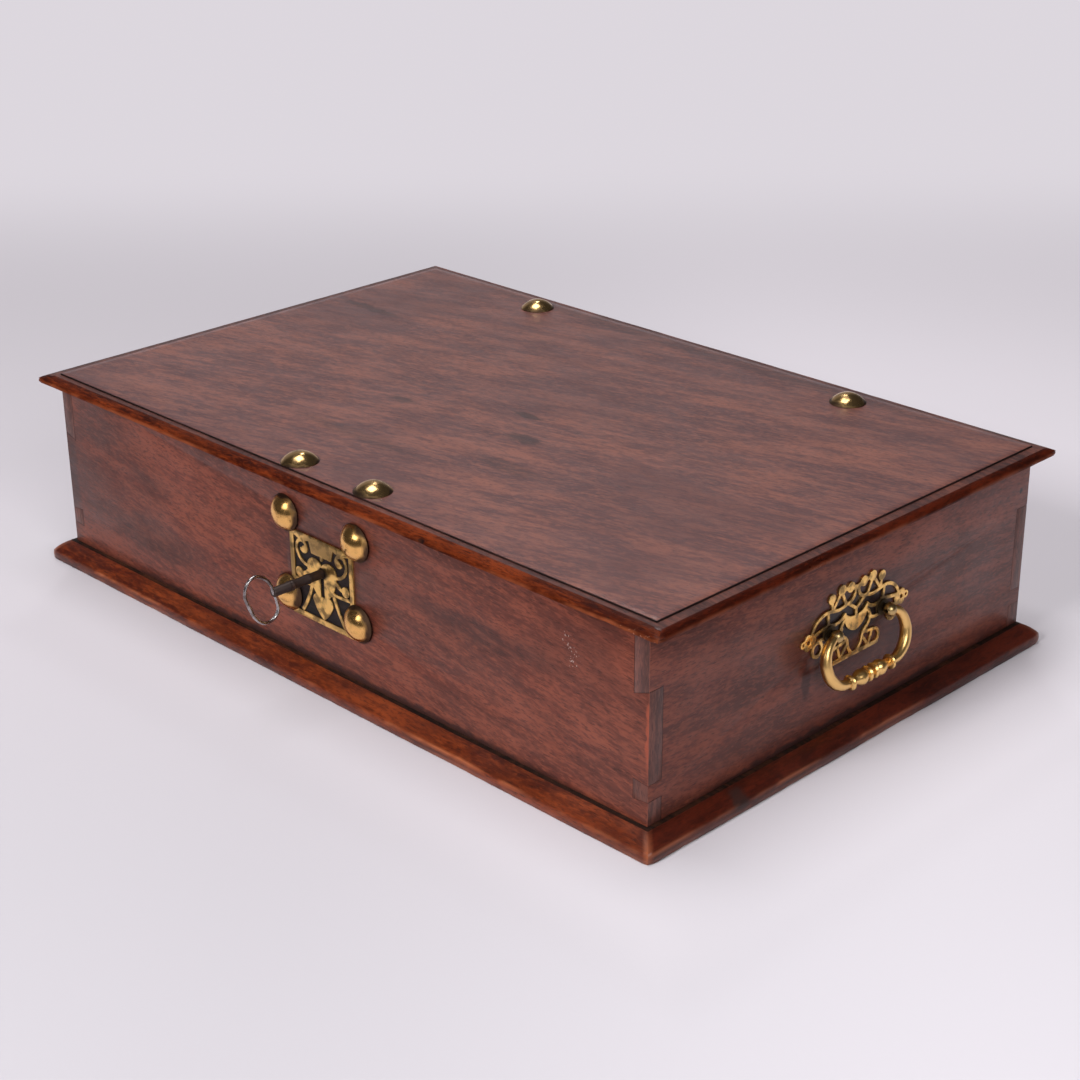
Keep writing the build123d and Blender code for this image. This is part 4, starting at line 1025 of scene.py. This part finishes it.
bpy.ops.object.select_all(action="DESELECT")
bpy.ops.mesh.primitive_plane_add(size=16)
floor = bpy.context.object
floor.name = "pale_floor"
floor_paper, tree, paper = fresh_material("floor_paper")
paper.inputs["Roughness"].default_value = 0.85
paper.inputs["Specular IOR Level"].default_value = 0.15
near_paper = (0.628, 0.596, 0.640)
middle_paper = (0.71, 0.665, 0.715)
box_paper = (0.69, 0.652, 0.697)
dim_paper = (0.57, 0.535, 0.58)
far_paper = (0.72, 0.68, 0.73)
unlit_paper = (0.03, 0.03, 0.03)
away_from_eye = Vector((-1, 1, 0)).normalized()
to_the_left = (-0.71, -0.71, 0)
rays = put(tree, "LightPath").outputs
floor_spot = put(tree, "TexCoord").outputs["Object"]
floor_parts = put(tree, "SeparateXYZ", {0: floor_spot}).outputs
depth = along_way(tree, floor_spot, away_from_eye)
# Painted shade: the paper is darker towards the camera than further back.
middle_share = stretch_range(tree, depth, -0.35, 0.15)
paper_colour = blend_colour(tree, middle_share, near_paper, middle_paper)

# In front of the box the paper is dark to all but the camera, as past the edge of a table.
beyond_table = stretch_range(tree, floor_parts["Y"], -0.5, -0.56)
not_seen = reckon(tree, "SUBTRACT", 1.0, rays["Is Camera Ray"])
beyond_table = reckon(tree, "MULTIPLY", beyond_table, not_seen)
paper_colour = blend_colour(tree, beyond_table, paper_colour, unlit_paper)

# Painted light and shade: close to the box the paper is set to one tone all round, which lifts the box's
# shadow, and it is painted dimmer from right to left.
beside = [reckon(tree, "SUBTRACT", reckon(tree, "ABSOLUTE", floor_parts[axis]), reach)
          for axis, reach in (("X", base_high.x), ("Y", -base_low.y))]
near_box = stretch_range(tree, reckon(tree, "MAXIMUM", *beside), 0.10, 0.0)
paper_colour = blend_colour(tree, near_box, paper_colour, box_paper)
left_dim = stretch_range(tree, along_way(tree, floor_spot, to_the_left), -0.25, 0.15, 1.12, 0.87)
paper_colour = blend_colour(tree, 1.0, paper_colour, left_dim, how="MULTIPLY")
tree.links.new(paper_colour, paper.inputs["Base Color"])

# Far off, the paper glows as evenly as the backdrop behind it.
far_share = stretch_range(tree, depth, 0.35, 1.0)
from_centre = put(tree, "VectorMath", {0: floor_spot}, operation="LENGTH").outputs["Value"]
all_round = stretch_range(tree, from_centre, 0.9, 1.7)
all_round = reckon(tree, "MULTIPLY", all_round, rays["Is Camera Ray"])
far_share = reckon(tree, "MAXIMUM", far_share, all_round)
far_colour = blend_colour(tree, stretch_range(tree, depth, 0.3, 1.1), dim_paper, far_paper)
glow = put(tree, "Emission", {"Color": far_colour, "Strength": 1.0}).outputs[0]
seen = reckon(tree, "ADD", rays["Is Camera Ray"], rays["Is Glossy Ray"])
seen = reckon(tree, "ADD", seen, rays["Is Transmission Ray"])
seen = reckon(tree, "MULTIPLY", reckon(tree, "MINIMUM", seen, 1.0), far_share)
joined = put(tree, "MixShader", {0: seen, 1: paper.outputs[0], 2: glow}).outputs[0]
tree.links.new(joined, tree.nodes["Material Output"].inputs["Surface"])
floor.data.materials.append(floor_paper)

# Gloss and metal show a dark room with the pale backdrop on one side; the camera sees backdrop only.
backdrop_pale = (0.70, 0.66, 0.71)
backdrop_high = (0.34, 0.325, 0.345)
room_dark = (0.055, 0.053, 0.055)
backdrop_way = Vector((-0.85, 0.5, 0.15)).normalized()
world = bpy.data.worlds.new("studio")
bpy.context.scene.world = world
world.use_nodes = True
sky_tree = world.node_tree
sky = sky_tree.nodes["Background"]
sky_way = put(sky_tree, "TexCoord").outputs["Generated"]
sky_share = stretch_range(sky_tree, along_way(sky_tree, sky_way, backdrop_way), 0.68, 0.97)
sky_colour = blend_colour(sky_tree, sky_share, room_dark, backdrop_high)
sky_height = put(sky_tree, "SeparateXYZ", {0: sky_way}).outputs["Z"]
horizon = reckon(sky_tree, "MULTIPLY", stretch_range(sky_tree, sky_height, 0.24, 0.08), sky_share)
sky_colour = blend_colour(sky_tree, horizon, sky_colour, backdrop_pale)
seen_sky = put(sky_tree, "LightPath").outputs["Is Camera Ray"]
sky_tree.links.new(blend_colour(sky_tree, seen_sky, sky_colour, backdrop_pale), sky.inputs["Color"])
sky.inputs["Strength"].default_value = 1.0

lamp_aim = Vector((0, 0, 0.06))


def soft_lamp(name, place, size, power, mirrored=True):
    """A square lamp turned to the box; mirrored says whether gloss and polished metal show it."""
    light = bpy.data.lights.new(name, "AREA")
    light.shape = "SQUARE"
    light.size = size
    light.energy = power
    lamp = bpy.data.objects.new(name, light)
    lamp.visible_glossy = mirrored
    bpy.context.scene.collection.objects.link(lamp)
    lamp.location = place
    lamp.rotation_euler = (lamp_aim - Vector(place)).to_track_quat("-Z", "Y").to_euler()


soft_lamp("front_lamp", (0.20, -1.95, 1.28), 0.5, 35.5, mirrored=False)
soft_lamp("front_glow", (0.18, -1.75, 1.15), 0.8, 7)
soft_lamp("right_lamp", (1.75, -0.75, 1.10), 0.9, 15.2)
soft_lamp("back_lamp", (-1.25, 1.22, 2.10), 0.3, 5)
soft_lamp("top_lamp", (-0.4, 0.0, 2.5), 1.3, 30)

camera_place = (0.82384, -0.80056, 0.54970)
camera_yaw = -0.7922
camera_pitch = 0.4197
camera_roll = -0.0078
camera_data = bpy.data.cameras.new("camera")
camera_data.lens = 71.106
camera_data.sensor_width = 36.0
camera_data.dof.use_dof = False
camera = bpy.data.objects.new("camera", camera_data)
bpy.context.scene.collection.objects.link(camera)
turn = Matrix.Rotation(-camera_yaw, 4, "Z") @ Matrix.Rotation(pi / 2 - camera_pitch, 4, "X")
camera.matrix_world = Matrix.Translation(camera_place) @ turn @ Matrix.Rotation(camera_roll, 4, "Z")
bpy.context.scene.camera = camera
bpy.context.scene.view_settings.view_transform = "Standard"
